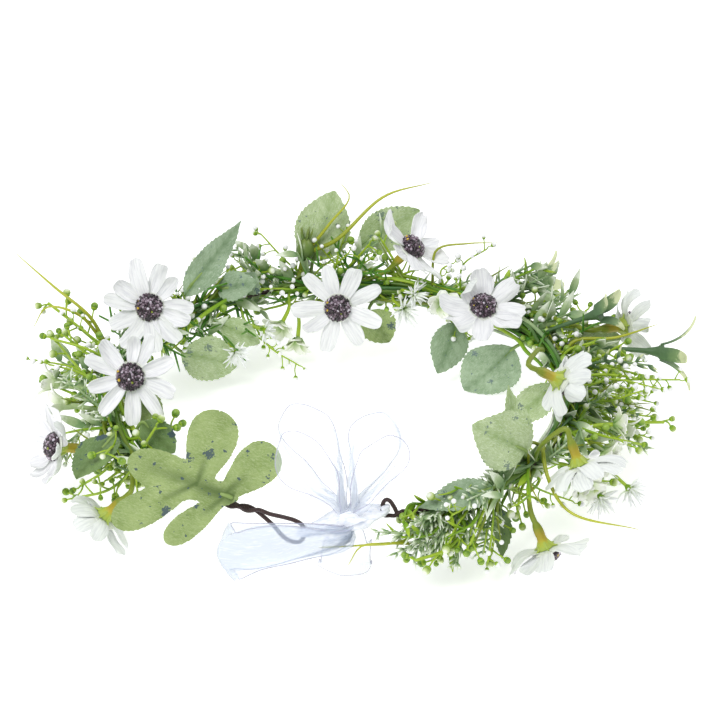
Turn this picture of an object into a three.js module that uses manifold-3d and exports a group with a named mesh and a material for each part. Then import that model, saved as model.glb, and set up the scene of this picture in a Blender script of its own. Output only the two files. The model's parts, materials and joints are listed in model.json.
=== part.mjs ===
// A flower crown: an open ring of paper-covered wire whose two ends are tied together with an organza ribbon.
// Eleven daisies, speckled leaves, bud sprigs, trumpet sprigs and grass blades are bound to the ring by their stems.
// Millimetres. +Z is up, the origin is the centre of the ring, and -Y is the front, where the ribbon is tied.
import * as THREE from 'three';
import { mergeVertices } from 'three/addons/utils/BufferGeometryUtils.js';
import Module from 'manifold-3d';

const wasm = await Module();
wasm.setup();

// Driving dimensions.
const ringRadius = 100; // centre of the wire
const wireRadius = 1.1;
const clearance = 0.4; // between pieces that touch
const stemRadius = 1.0;
const twigRadius = 0.8;
const bladeRadius = 0.9;
const leafThickness = 0.7;
const hingeAngle = 112; // where the ring bends when its tied ends are pulled apart
const boundLength = 14; // of a stem, laid along the wire
const eyeWireRadius = 0.9;
const eyeLength = 29; // of the loop at the left end of the wire, with the crossing where it closes
const eyeHeight = 11;
const smallEyeLength = 10; // of the loop at the right end, which stands up
const smallEyeHeight = -8;
const leftEyeAngle = 246; // where the left loop begins
const rightEyeAngle = -74;

// Daisy head: its petals and centre turn on a peg in the stem's socket.
const wideDaisy = 22; // radius over the petals of an open flower
const halfOpenDaisy = 20;
const smallDaisy = 18;
const petalThickness = 0.7;
const pegRadius = 0.9;
const socketBore = pegRadius + clearance;
const centreRadius = 6.3;
const centreHeight = 4.6;
const calyxRadius = 3.4;
const socketRadius = 2.0;
const calyxDepth = 4.5;
const socketDepth = 12;
const boreDepth = 6.5;

// Ribbon.
const ribbonWidth = 30;
const ribbonThickness = 0.8;
const knotRadius = 5.5;
const loopStand = 1.8; // from the knot to the middle of each loop's start
const neckRadius = 1.8;
const linkRadius = eyeWireRadius + clearance + 1.0; // of the ribbon's turn round the eye, at its middle
const linkThickness = 0.9;

// Floral tape round a bundle of bound stems.
const tapeInner = wireRadius + clearance + 2 * stemRadius + clearance;
const tapeOuter = tapeInner + 0.7;
const tapeLength = 8;

const deg = Math.PI / 180;
const zAxis = new THREE.Vector3(0, 0, 1);

const colours = {
  wire: { color: '#3d2a23', roughness: 0.85 },
  tape: { color: '#5d7440', roughness: 0.7 },
  ribbon: { color: '#eef2fa', roughness: 0.35 },
  petal: { color: '#f4f4f6', roughness: 0.8 },
  centre: { color: '#3b2f3a', roughness: 0.35 },
  stem: { color: '#7f9a2c', roughness: 0.5 },
  leaf: { color: '#a9c08a', roughness: 0.75 },
  bud: { color: '#8fb51f', roughness: 0.5 },
  trumpet: { color: '#8aa37a', roughness: 0.55 },
  grass: { color: '#a9b52c', roughness: 0.5 },
};

const crown = new THREE.Group();

// ---------------------------------------------------------------- solids and points

/** A closed geometry as a solid that can be joined. */
function solidOf(geometry) {
  const bare = geometry.clone();
  bare.deleteAttribute('normal');
  bare.deleteAttribute('uv');
  const merged = mergeVertices(bare, 1e-4);
  return new wasm.Manifold(
    new wasm.Mesh({
      numProp: 3,
      vertProperties: new Float32Array(merged.attributes.position.array),
      triVerts: new Uint32Array(merged.index.array),
    }),
  );
}

/** One geometry from several closed ones that overlap. */
function joined(...geometries) {
  const made = geometries
    .map(solidOf)
    .reduce((sum, next) => sum.add(next))
    .getMesh();
  const geometry = new THREE.BufferGeometry();
  geometry.setAttribute('position', new THREE.BufferAttribute(new Float32Array(made.vertProperties), 3));
  geometry.setIndex(new THREE.BufferAttribute(new Uint32Array(made.triVerts), 1));
  geometry.computeVertexNormals();
  return geometry;
}

/** Adds a named mesh to a group. */
function add(group, name, geometry, colour) {
  const mesh = new THREE.Mesh(geometry, new THREE.MeshStandardMaterial({ ...colours[colour], metalness: 0 }));
  mesh.name = name;
  group.add(mesh);
  return mesh;
}

/** A point by its angle round the ring, its distance outside the wire and its height. */
function around(angle, out = 0, up = 0) {
  const r = ringRadius + out;
  return new THREE.Vector3(r * Math.cos(angle * deg), r * Math.sin(angle * deg), up);
}

/** Points of a stem laid along the wire. Slot 0 is outside the wire and 90 on top; way 1 runs towards larger angles. */
function boundRun({ site, slot, way }, radius) {
  const reach = wireRadius + clearance + radius;
  const half = (boundLength / 2 / ringRadius) / deg;
  return [-1, 0, 1].map((k) =>
    around(site + k * way * half, reach * Math.cos(slot * deg), reach * Math.sin(slot * deg)),
  );
}

/** A tube of constant radius along a smooth curve. */
function tube(points, radius, { sides = 6, steps = 12 } = {}) {
  const section = new THREE.Shape(
    Array.from({ length: sides }, (_, i) => {
      const a = (2 * Math.PI * i) / sides;
      return new THREE.Vector2(radius * Math.cos(a), radius * Math.sin(a));
    }),
  );
  const extrudePath = new THREE.CatmullRomCurve3(points, false, 'centripetal');
  return new THREE.ExtrudeGeometry(section, { steps, bevelEnabled: false, extrudePath });
}

/** A solid of revolution about +Z from a profile of [radius, height] points. */
function turned(profile, segments) {
  const geometry = new THREE.LatheGeometry(
    profile.map(([r, h]) => new THREE.Vector2(r, h)),
    segments,
  );
  return geometry.rotateX(Math.PI / 2);
}

/** The matrix that puts X along axis, Z as near normal as that allows, and the origin at a place. */
function facing(place, axis, normal) {
  const x = axis.clone().normalize();
  const z = normal.clone().addScaledVector(x, -normal.dot(x)).normalize();
  const y = new THREE.Vector3().crossVectors(z, x);
  return new THREE.Matrix4().makeBasis(x, y, z).setPosition(place);
}

// ---------------------------------------------------------------- the wire ring

/** A vertical wire loop at the end of the ring, as the two tubes that meet at its far end. */
function eye(startAngle, way, length, height) {
  const start = around(startAngle);
  const along = new THREE.Vector3(-Math.sin(startAngle * deg), Math.cos(startAngle * deg), 0).multiplyScalar(way);
  const at = (share, up) => start.clone().addScaledVector(along, share * length).setZ(up * height);
  const out = [at(-0.15, 0), at(0.3, 0), at(0.68, 0), at(0.93, -0.1), at(1, -0.4)];
  const back = [at(1, -0.34), at(0.98, -0.72), at(0.85, -1), at(0.65, -0.85), at(0.3, -0.06), at(-0.1, 0.06)];
  return { tubes: [out, back].map((p) => tube(p, eyeWireRadius, { sides: 6, steps: 10 })), end: at(1, -0.4) };
}

const hingeGap = (2 * wireRadius) / ringRadius / deg; // the two halves stand apart by the wire's thickness

/** Points along the wire between two angles. */
function arc(from, to, count) {
  return Array.from({ length: count + 1 }, (_, i) => around(from + ((to - from) * i) / count));
}

const leftEye = eye(leftEyeAngle, 1, eyeLength, eyeHeight);
const rightEye = eye(rightEyeAngle, -1, smallEyeLength, smallEyeHeight);
const leftArc = tube(arc(hingeAngle + hingeGap / 2, leftEyeAngle + 1, 16), wireRadius, { sides: 6, steps: 30 });
const rightArc = tube(arc(hingeAngle - hingeGap / 2, rightEyeAngle - 1, 20), wireRadius, { sides: 6, steps: 36 });
add(crown, 'wire_left', joined(leftArc, ...leftEye.tubes), 'wire');
add(crown, 'wire_right', joined(rightArc, ...rightEye.tubes), 'wire');

// ---------------------------------------------------------------- floral tape

/** A sleeve of tape round the wire and the stems that are bound to it. */
function tapeSleeve(name, angle) {
  const profile = [
    [tapeInner, -tapeLength / 2],
    [tapeOuter, -tapeLength / 2],
    [tapeOuter, tapeLength / 2],
    [tapeInner, tapeLength / 2],
    [tapeInner, -tapeLength / 2],
  ];
  const mesh = add(crown, name, turned(profile, 10), 'tape');
  mesh.position.copy(around(angle));
  mesh.quaternion.setFromUnitVectors(zAxis, new THREE.Vector3(-Math.sin(angle * deg), Math.cos(angle * deg), 0));
}

// ---------------------------------------------------------------- daisies

/** A star of petals round a flat hub; outside the centre the petals rise to cup at their tips. */
function petalLayer(count, radius, cup) {
  const notch = centreRadius + 0.8; // where neighbouring petals part
  const sides = [
    [0.4, 0.9],
    [1, 1],
    [1.6, 0.9],
  ];
  const at = (turn, r) => {
    const a = (turn * Math.PI) / count;
    const share = Math.max(0, r - notch) / (radius - notch);
    return [r * Math.cos(a), r * Math.sin(a), cup * share ** 1.5];
  };
  const points = [];
  const faces = [];
  const rim = [];
  const bore = [];
  for (let i = 0; i < count; i++) {
    const first = points.length;
    const next = i === count - 1 ? 0 : first + 5;
    points.push(at(2 * i, socketBore), at(2 * i, notch), ...sides.map(([turn, share]) => at(2 * i + turn, share * radius)));
    faces.push([first, first + 1, next + 1], [first, next + 1, next]);
    for (let k = 1; k < 4; k++) faces.push([first + k, first + k + 1, next + 1]);
    rim.push([first + 1, first + 2], [first + 2, first + 3], [first + 3, first + 4], [first + 4, next + 1]);
    bore.push([next, first]);
  }
  const above = points.length;
  const index = faces.flatMap(([a, b, c]) => [a + above, b + above, c + above, c, b, a]);
  for (const [a, b] of [...rim, ...bore]) index.push(a, b, b + above, a, b + above, a + above);
  const raised = points.map(([x, y, z]) => [x, y, z + petalThickness]);
  const geometry = new THREE.BufferGeometry();
  geometry.setAttribute('position', new THREE.Float32BufferAttribute([...points, ...raised].flat(), 3));
  geometry.setIndex(index);
  geometry.computeVertexNormals();
  return geometry;
}

/** The beaded dome and the peg under it, which passes through the petals into the socket. */
function daisyCentre() {
  const seat = petalThickness + clearance;
  return turned(
    [
      [0, 0.7 - boreDepth],
      [pegRadius, 0.7 - boreDepth],
      [pegRadius, seat],
      [centreRadius, seat],
      [centreRadius, seat + 0.3 * centreHeight],
      [0.75 * centreRadius, seat + 0.75 * centreHeight],
      [0.35 * centreRadius, seat + 0.97 * centreHeight],
      [0, seat + centreHeight],
    ],
    10,
  );
}

/** The green cup behind the petals, narrowing to the socket, with a bore for the peg. */
function calyx() {
  return turned(
    [
      [0, -socketDepth],
      [socketRadius, -socketDepth],
      [socketRadius, -calyxDepth],
      [calyxRadius, -clearance],
      [socketBore, -clearance],
      [socketBore, -boreDepth],
      [0, -boreDepth],
    ],
    8,
  );
}

/** The petals and centre that turn together, and the stem that carries them and is bound to the wire. */
function daisy({ name, head, face, radius, cup, petals, via = [], ...binding }) {
  const place = around(...head);
  const normal = new THREE.Vector3(...face).normalize();
  const group = new THREE.Group();
  group.position.copy(place);
  group.quaternion.setFromUnitVectors(zAxis, normal);
  add(group, `${name}_petals`, petalLayer(petals, radius, cup), 'petal');
  add(group, `${name}_centre`, daisyCentre(), 'centre');
  crown.add(group);

  const behind = (distance) => place.clone().addScaledVector(normal, -distance);
  const route = [
    ...boundRun(binding, stemRadius),
    ...via.map((point) => around(...point)),
    behind(socketDepth + 5),
    behind(socketDepth - 2),
  ];
  const holder = calyx().applyQuaternion(group.quaternion).translate(place.x, place.y, place.z);
  add(crown, `${name}_stem`, joined(holder, tube(route, stemRadius, { sides: 6, steps: 10 })), 'stem');
}

// head and via: [angle round the ring, distance outside the wire, height]; face: the way the flower looks.
const daisies = [
  { name: 'daisy_back_left', head: [157, -8, 24], face: [-0.1, -0.86, 0.5], radius: wideDaisy, cup: 3, petals: 11, site: 140, slot: 60, way: 1 },
  { name: 'daisy_left', head: [195.6, -7, 24], face: [-0.1, -0.9, 0.42], radius: wideDaisy, cup: 3, petals: 10, site: 168, slot: 90, way: 1, via: [[180, -4, 9]] },
  { name: 'daisy_far_left', head: [197, 27, -4], face: [-0.92, -0.32, 0.27], radius: halfOpenDaisy, cup: 6, petals: 10, site: 180, slot: 0, way: 1 },
  { name: 'daisy_front_left', head: [215.4, 22.6, -18], face: [-0.7, -0.06, -0.7], radius: smallDaisy, cup: 5, petals: 9, site: 203, slot: 300, way: 1 },
  { name: 'daisy_back', head: [91, -14, -4], face: [0, -0.94, 0.36], radius: wideDaisy, cup: 3, petals: 11, site: 73, slot: 270, way: 1 },
  { name: 'daisy_back_high', head: [71.7, 2, 21], face: [0.61, -0.2, 0.77], radius: wideDaisy - 1, cup: 5, petals: 10, site: 88, slot: 60, way: -1 },
  { name: 'daisy_back_right', head: [42.4, -12.6, 11], face: [0, -0.5, 0.86], radius: wideDaisy, cup: 4, petals: 9, site: 61, slot: 210, way: -1 },
  { name: 'daisy_right', head: [-14.8, -2, 22], face: [0.82, 0.18, -0.54], radius: smallDaisy, cup: 6, petals: 9, site: 29, slot: 120, way: -1, via: [[15, -7, 9], [1, -12, 22], [-9, -14, 30]] },
  { name: 'daisy_right_low', head: [-35.5, 24, 8], face: [0.35, -0.3, -0.89], radius: halfOpenDaisy, cup: 5, petals: 10, site: -31, slot: 60, way: -1, via: [[-37, 7, 14]] },
  { name: 'daisy_front_right', head: [-46, 25, -22], face: [0.38, -0.27, -0.88], radius: halfOpenDaisy, cup: 4, petals: 10, site: -31, slot: 300, way: -1, via: [[-41, 6, -3]] },
  { name: 'daisy_far_right', head: [17.6, 34, 12], face: [0.94, 0.33, -0.05], radius: halfOpenDaisy, cup: 6, petals: 10, site: 48, slot: 0, way: -1, via: [[36, 8, 6]] },
];
daisies.forEach(daisy);

tapeSleeve('tape_left', 180);
tapeSleeve('tape_back_right', 48);
tapeSleeve('tape_front_right', -31);

// ---------------------------------------------------------------- leaves

/** Half the width of a leaf at a share of its length, as a share of its full width. */
const bladeShapes = {
  oval: (t) => 0.5 * Math.sin(Math.PI * t ** 0.85) ** 0.75,
  lance: (t) => 0.5 * Math.sin(Math.PI * t ** 0.7),
  trumpet: (t) => 0.12 + 0.38 * t ** 1.6,
};

/** A flat leaf from the origin along +X that curls down towards its tip. */
function leafBlade({ length, width, shape = 'oval', curl = 0 }) {
  const half = bladeShapes[shape];
  const side = Array.from({ length: 6 }, (_, i) => (i + 0.35) / 6);
  const rim = [
    ...side.map((t) => new THREE.Vector2(t * length, -half(t) * width)),
    new THREE.Vector2(length, shape === 'trumpet' ? -half(1) * width : 0),
    ...(shape === 'trumpet' ? [new THREE.Vector2(length, half(1) * width)] : []),
    ...side.reverse().map((t) => new THREE.Vector2(t * length, half(t) * width)),
  ];
  const geometry = new THREE.ExtrudeGeometry(new THREE.Shape(rim), { depth: leafThickness, bevelEnabled: false });
  const p = geometry.attributes.position;
  for (let i = 0; i < p.count; i++) p.setZ(i, p.getZ(i) - curl * (p.getX(i) / length) ** 2);
  return geometry;
}

/** A leaf put with its base at a place; the blade overlaps the tip of its stalk. */
function placedLeaf({ base, axis, normal, ...blade }) {
  return leafBlade(blade).applyMatrix4(
    facing(around(...base), new THREE.Vector3(...axis), new THREE.Vector3(...normal)),
  );
}

/** A stalk that is bound to the wire and ends just inside the base of a leaf. */
function stalk({ via = [], ...binding }, leaf) {
  const base = around(...leaf.base);
  const inside = base.clone().addScaledVector(new THREE.Vector3(...leaf.axis).normalize(), 0.2 * leaf.length);
  return tube(
    [...boundRun(binding, twigRadius), ...via.map((p) => around(...p)), base, inside],
    twigRadius,
    { sides: 5, steps: 8 },
  );
}

/** A node of one stalk and its leaves. */
function leafSpray(name, binding, leaves) {
  add(crown, name, joined(stalk(binding, leaves[0]), ...leaves.map(placedLeaf)), 'leaf');
}

leafSpray('leaf_left_low', { site: 192, slot: 330, way: 1 }, [
  { base: [206, 7, 8], axis: [-0.46, -0.88, -0.13], normal: [-0.35, -0.5, 0.8], length: 31, width: 19, curl: 2 },
]);
leafSpray('leaf_left_hanging', { site: 149, slot: 250, way: -1 }, [
  { base: [140, -5, -13], axis: [0.93, 0.12, -0.34], normal: [0.1, -0.97, 0.2], length: 28, width: 22, curl: 2 },
]);
leafSpray('leaf_back_left', { site: 127, slot: 80, way: 1 }, [
  { base: [134, 3, 9], axis: [0.6, 0.55, 0.58], normal: [0.4, -0.85, 0.35], length: 44, width: 15, shape: 'lance', curl: 2 },
]);
leafSpray('leaf_back_middle', { site: 103, slot: 90, way: -1 }, [
  { base: [97, 8, 9], axis: [0.3, 0.3, 0.9], normal: [0, -0.95, 0.3], length: 34, width: 26, curl: 3 },
]);
leafSpray('leaf_back_right', { site: 93, slot: 0, way: -1 }, [
  { base: [86, 20, 10], axis: [0.86, 0.2, 0.48], normal: [0, -0.9, 0.45], length: 33, width: 20, curl: 2 },
]);
leafSpray('leaf_right_hanging', { site: 27, slot: 270, way: 1 }, [
  { base: [36, -3, -9], axis: [-0.66, 0.05, -0.75], normal: [0.05, -1, 0], length: 33, width: 28, curl: 2 },
]);
leafSpray('leaf_pair_right', { site: -31, slot: 140, way: -1, via: [[-38.5, -1, 7]] }, [
  { base: [-41, 4, 13], axis: [-0.66, -0.42, 0.62], normal: [0.58, -0.8, 0.16], length: 33, width: 26, curl: 2 },
  { base: [-41.5, 3, 11], axis: [-0.25, 0.5, 0.85], normal: [0.58, -0.8, 0.3], length: 30, width: 14, shape: 'lance', curl: -2 },
]);
leafSpray('leaf_front_right', { site: -46, slot: 30, way: -1 }, [
  { base: [-53, 6, 5], axis: [-0.91, -0.4, -0.03], normal: [-0.1, -0.6, 0.8], length: 34, width: 14, shape: 'lance', curl: 1 },
]);

/** The big leaf: one lobe along its midrib and two on each side. */
function lobedLeaf(name, binding, { base, axis, normal, length, lobes }) {
  const place = facing(around(...base), new THREE.Vector3(...axis), new THREE.Vector3(...normal));
  const plates = lobes.map(({ at, turn, reach, width }) =>
    leafBlade({ length: reach, width })
      .rotateZ(turn * deg)
      .translate(at * length, 0, 0)
      .applyMatrix4(place),
  );
  add(crown, name, joined(stalk(binding, { base, axis, length }), ...plates), 'leaf');
}

lobedLeaf('leaf_lobed', { site: 236, slot: 30, way: 1 }, {
  base: [246, 8, 9],
  axis: [-0.93, 0.17, 0.3],
  normal: [-0.15, -0.85, 0.5],
  length: 46,
  lobes: [
    { at: 0, turn: 0, reach: 46, width: 17 },
    { at: 0.08, turn: -118, reach: 29, width: 17 },
    { at: 0.34, turn: -88, reach: 33, width: 20 },
    { at: 0.1, turn: 60, reach: 32, width: 13 },
    { at: 0.35, turn: 46, reach: 38, width: 17 },
  ],
});

// ---------------------------------------------------------------- sprigs and grass

/** A twig bound to the wire with buds on side twigs. Each bud: share along the twig, and where it hangs. */
function budSprig(name, { path, buds, ...binding }) {
  const main = [...boundRun(binding, twigRadius), ...path.map((p) => around(...p))];
  const curve = new THREE.CatmullRomCurve3(main, false, 'centripetal');
  const parts = [tube(main, twigRadius, { sides: 5, steps: 12 })];
  for (const [share, reach, radius = 2.2] of buds) {
    const from = curve.getPointAt(share);
    const to = from.clone().add(new THREE.Vector3(...reach));
    parts.push(tube([from, to], 0.75 * twigRadius, { sides: 4, steps: 1 }));
    parts.push(new THREE.SphereGeometry(radius, 6, 4).translate(to.x, to.y, to.z));
  }
  add(crown, name, joined(...parts), 'bud');
}

budSprig('bud_sprig_left', {
  site: 170, slot: 10, way: -1,
  path: [[164, 12, 8], [163, 26, 17], [163, 36, 24]],
  buds: [[0.5, [-9, -8, 7]], [0.62, [3, 8, 10]], [0.72, [-10, -4, -3]], [0.84, [0, 6, 9]], [0.98, [-5, -2, 1]]],
});
budSprig('bud_sprig_right', {
  site: 2, slot: 340, way: -1,
  path: [[-4, 12, -6], [-5, 28, -7], [-4, 42, -8]],
  buds: [[0.5, [6, -8, -8]], [0.62, [8, 8, 4]], [0.72, [6, -9, -4]], [0.84, [4, 9, -7]], [0.98, [5, 1, 1]]],
});
budSprig('bud_sprig_front', {
  site: -57, slot: 270, way: -1,
  path: [[-61, 8, -8], [-67, 13, -13], [-74, 15, -14]],
  buds: [[0.5, [-3, -8, -5]], [0.66, [-8, 6, -6]], [0.8, [-5, -6, -4]], [0.98, [-5, 1, 1]]],
});

/** A rubbery twig that ends in three lobes that spread like the mouth of a trumpet. */
function trumpetSprig(name, { path, lobes, ...binding }) {
  const main = [...boundRun(binding, twigRadius), ...path.map((p) => around(...p))];
  const mouth = main[main.length - 1];
  const along = mouth.clone().sub(main[main.length - 2]).normalize();
  const parts = lobes.map(([axis, length]) => {
    const to = new THREE.Vector3(...axis).normalize();
    const normal = new THREE.Vector3().crossVectors(along, to).cross(to);
    return leafBlade({ length, width: 8, shape: 'trumpet' }).applyMatrix4(
      facing(mouth.clone().addScaledVector(along, -1.5), to, normal),
    );
  });
  add(crown, name, joined(tube(main, twigRadius, { sides: 5, steps: 12 }), ...parts), 'trumpet');
}

trumpetSprig('trumpet_sprig_right', {
  site: 24, slot: 330, way: -1,
  path: [[19, 9, 4], [12, 28, 8], [9, 44, 9]],
  lobes: [[[0.9, 0, 0.45], 16], [[0.95, -0.25, 0.05], 17], [[0.8, -0.35, -0.5], 17]],
});
trumpetSprig('trumpet_sprig_back', {
  site: 61, slot: 330, way: -1,
  path: [[53, 12, 4], [46, 24, 9]],
  lobes: [[[0.5, 0.5, 0.75], 15], [[0.9, 0.35, 0.3], 16], [[0.75, 0.6, -0.35], 15]],
});

/** Blades of grass that leave the wire together. */
function grass(name, binding, blades) {
  const parts = blades.map((path) =>
    tube([...boundRun(binding, bladeRadius), ...path.map((p) => around(...p))], bladeRadius, { sides: 4, steps: 12 }),
  );
  add(crown, name, joined(...parts), 'grass');
}

grass('grass_left', { site: 155, slot: 300, way: 1 }, [
  [[161, 8, 2], [164, 16, 22], [163, 33, 33], [162, 51, 45]],
  [[161, 8, 2], [165, 20, 23], [166, 34, 26], [168, 39, 18]],
]);
grass('grass_back', { site: 106, slot: 20, way: -1 }, [
  [[99, 7, 12], [91, 4, 22], [80, 14, 40], [70, 22, 46]],
  [[99, 7, 12], [93, 9, 27], [88, 12, 40], [90, 14, 46]],
]);

// ---------------------------------------------------------------- ribbon

/** A point between the two wire eyes, at a share of the way from the left one to the right one. */
function between(share) {
  return leftEye.end.clone().lerp(rightEye.end, share);
}

/** The ribbon's turn round one eye: a ring about the upright part of the eye, and a neck towards the knot. */
function ribbonTurn(eyeEnd, toward, reach) {
  const ring = new THREE.TorusGeometry(linkRadius, linkThickness, 6, 12).translate(eyeEnd.x, eyeEnd.y, eyeEnd.z);
  const way = toward.clone().sub(eyeEnd).normalize();
  const at = (distance) => eyeEnd.clone().addScaledVector(way, distance);
  return joined(ring, tube([at(linkRadius), at(reach)], neckRadius, { sides: 8, steps: 1 }));
}

const knot = between(0.55);
const gapLength = leftEye.end.distanceTo(rightEye.end);
const neckLength = 0.24 * gapLength;
add(crown, 'ribbon_link_left', ribbonTurn(leftEye.end, rightEye.end, neckLength), 'ribbon');

const knotBall = new THREE.SphereGeometry(knotRadius, 10, 7).translate(knot.x, knot.y, knot.z);
const leftNeck = tube(
  [leftEye.end.clone().lerp(rightEye.end, (neckLength + clearance) / gapLength), knot],
  neckRadius,
  { sides: 8, steps: 1 },
);
const rightTurn = ribbonTurn(rightEye.end, leftEye.end, 0.4 * gapLength);
add(crown, 'ribbon_knot', joined(knotBall, leftNeck, rightTurn), 'ribbon');

/** A strip of ribbon as a thin wall along a flat curve of [along, rise] points, as wide as the ribbon. */
function ribbonStrip(points, width, closed) {
  const curve = new THREE.SplineCurve(points.map(([a, b]) => new THREE.Vector2(a, b)));
  const line = curve.getPoints(closed ? 20 : 12);
  const side = (sign) =>
    line.map((p, i) => {
      const t = line[Math.min(i + 1, line.length - 1)].clone().sub(line[Math.max(i - 1, 0)]).normalize();
      return new THREE.Vector2(p.x - (sign * t.y * ribbonThickness) / 2, p.y + (sign * t.x * ribbonThickness) / 2);
    });
  return new THREE.ExtrudeGeometry(new THREE.Shape([...side(1), ...side(-1).reverse()]), {
    depth: width,
    bevelEnabled: false,
  }).translate(0, 0, -width / 2);
}

/** Puts a strip's flat curve in the plane of two directions, starting just off one side of the knot. */
function placeStrip(name, strip, side, along, rise) {
  const x = new THREE.Vector3(...along).normalize();
  const y = new THREE.Vector3(...rise);
  y.addScaledVector(x, -x.dot(y)).normalize();
  const z = new THREE.Vector3().crossVectors(x, y);
  const mesh = add(crown, name, strip, 'ribbon');
  const out = new THREE.Vector3(...side).normalize();
  mesh.position.copy(knot).addScaledVector(out, knotRadius + loopStand);
  mesh.quaternion.setFromRotationMatrix(new THREE.Matrix4().makeBasis(x, y, z));
}

/** A ribbon loop: out along one side and back along the other, open by the given height. */
function loopPoints(length, height) {
  return [
    [0.5, height * 0.06],
    [length * 0.35, height * 0.34],
    [length * 0.75, height * 0.5],
    [length, 0],
    [length * 0.75, -height * 0.5],
    [length * 0.35, -height * 0.34],
    [0.5, -height * 0.06],
  ];
}

const loopWidth = 0.8 * ribbonWidth;
placeStrip(
  'ribbon_loop_left',
  ribbonStrip(loopPoints(42, 17), loopWidth, true),
  [-0.35, 0.3, 0.88],
  [-0.5, 0.18, 0.85],
  [0.85, 0, 0.5],
);
placeStrip(
  'ribbon_loop_right',
  ribbonStrip(loopPoints(36, 15), loopWidth, true),
  [0.5, 0.2, 0.85],
  [0.34, 0.2, 0.9],
  [0.9, 0, -0.34],
);
placeStrip(
  'ribbon_loop_front',
  ribbonStrip(loopPoints(56, 12), 0.6 * ribbonWidth, true),
  [0.15, -1, -0.3],
  [-0.97, -0.2, 0.02],
  [0.2, -0.95, 0],
);
placeStrip(
  'ribbon_tail',
  ribbonStrip([[0.5, 0], [5, 1.5], [9, -0.7], [13, 0.8], [17, 0]], 0.6 * ribbonWidth, false),
  [0.3, -0.1, -0.95],
  [-0.1, -0.25, -0.95],
  [0.2, -0.9, 0.2],
);

export default crown;
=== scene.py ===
"""Looks of a flower crown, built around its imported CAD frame.

An open ring of paper-wrapped wire carries eleven daisies, speckled cloth leaves, moulded
sprigs and grass blades, and an organza ribbon ties its two ends together. Lengths are in
millimetres until a mesh is made. +Z is up and the ribbon is at the front, towards -Y.
"""

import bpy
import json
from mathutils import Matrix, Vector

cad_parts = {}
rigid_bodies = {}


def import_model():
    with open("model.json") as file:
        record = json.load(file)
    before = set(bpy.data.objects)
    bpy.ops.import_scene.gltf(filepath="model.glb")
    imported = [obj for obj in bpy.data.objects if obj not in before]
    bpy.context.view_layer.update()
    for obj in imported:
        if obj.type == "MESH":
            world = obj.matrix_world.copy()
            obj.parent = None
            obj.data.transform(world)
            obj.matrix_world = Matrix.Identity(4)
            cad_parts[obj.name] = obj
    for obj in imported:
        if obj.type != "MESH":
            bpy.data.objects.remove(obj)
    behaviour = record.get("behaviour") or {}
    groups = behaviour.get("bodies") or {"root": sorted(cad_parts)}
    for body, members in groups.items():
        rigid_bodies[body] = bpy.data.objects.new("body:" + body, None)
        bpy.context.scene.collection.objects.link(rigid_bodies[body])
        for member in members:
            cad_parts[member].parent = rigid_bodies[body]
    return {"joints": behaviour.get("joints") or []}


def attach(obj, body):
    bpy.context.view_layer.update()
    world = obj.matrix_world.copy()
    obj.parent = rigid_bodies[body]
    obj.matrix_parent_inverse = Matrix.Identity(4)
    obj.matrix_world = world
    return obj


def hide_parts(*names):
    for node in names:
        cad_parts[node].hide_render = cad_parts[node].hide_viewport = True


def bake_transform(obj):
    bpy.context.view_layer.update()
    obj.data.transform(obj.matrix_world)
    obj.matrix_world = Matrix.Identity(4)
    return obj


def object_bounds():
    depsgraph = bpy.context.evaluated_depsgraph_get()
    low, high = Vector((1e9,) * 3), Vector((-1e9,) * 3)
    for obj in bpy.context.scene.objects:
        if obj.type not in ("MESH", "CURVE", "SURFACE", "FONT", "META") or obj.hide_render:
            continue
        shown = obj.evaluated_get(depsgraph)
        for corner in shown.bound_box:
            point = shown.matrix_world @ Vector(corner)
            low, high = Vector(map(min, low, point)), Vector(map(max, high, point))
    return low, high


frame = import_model()
cad_box = [list(map(float, corner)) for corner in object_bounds()]

import json
import logging
import math
from collections.abc import Callable, Sequence
from dataclasses import dataclass, field
from enum import Enum

import bpy
import numpy as np
from mathutils import Vector

MM = 0.001
RING_RADIUS = 100.0
WIRE_RADIUS = 1.1
CLEARANCE = 0.4
HINGE_ANGLE = 112.0
HINGE_GAP = 1.26
BOUND_LENGTH = 14.0
STEM_RADIUS = 1.0
TWIG_RADIUS = 0.8
Array = np.ndarray
log = logging.getLogger("crown")


class Slot(Enum):
    """The record's material slots."""

    WIRE = "wire"
    TAPE = "tape"
    RIBBON = "ribbon"
    PETAL = "petal"
    CENTRE = "centre"
    STEM = "stem"
    LEAF = "leaf"
    BUD = "bud"
    TRUMPET = "trumpet"
    GRASS = "grass"


class Half(Enum):
    """The two bodies of the opened ring."""

    LEFT = "left_half"
    RIGHT = "right_half"


# ---------------------------------------------------------------- points and curves


def unit(vector: Sequence[float]) -> Array:
    """The vector scaled to length 1."""
    made = np.asarray(vector, float)
    return made / max(float(np.linalg.norm(made)), 1e-9)


def around(angle: float, out: float = 0.0, up: float = 0.0) -> Array:
    """A point by its angle round the ring, its distance outside the wire and its height."""
    turn = math.radians(angle)
    reach = RING_RADIUS + out
    return np.array([reach * math.cos(turn), reach * math.sin(turn), up])


def half_at(angle: float) -> Half:
    """The half of the ring that a place on the wire belongs to."""
    return Half.LEFT if angle > HINGE_ANGLE else Half.RIGHT


@dataclass(frozen=True)
class Binding:
    """Where a stem lies along the wire: slot 0 is outside the wire, 90 on top."""

    site: float
    slot: float
    way: int

    def run(self, radius: float) -> list[Array]:
        """Three points of a stem of that radius laid along the wire."""
        reach = WIRE_RADIUS + CLEARANCE + radius
        step = math.degrees(BOUND_LENGTH / 2 / RING_RADIUS)
        turn = math.radians(self.slot)
        return [
            around(self.site + k * self.way * step, reach * math.cos(turn), reach * math.sin(turn))
            for k in (-1, 0, 1)
        ]


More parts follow.
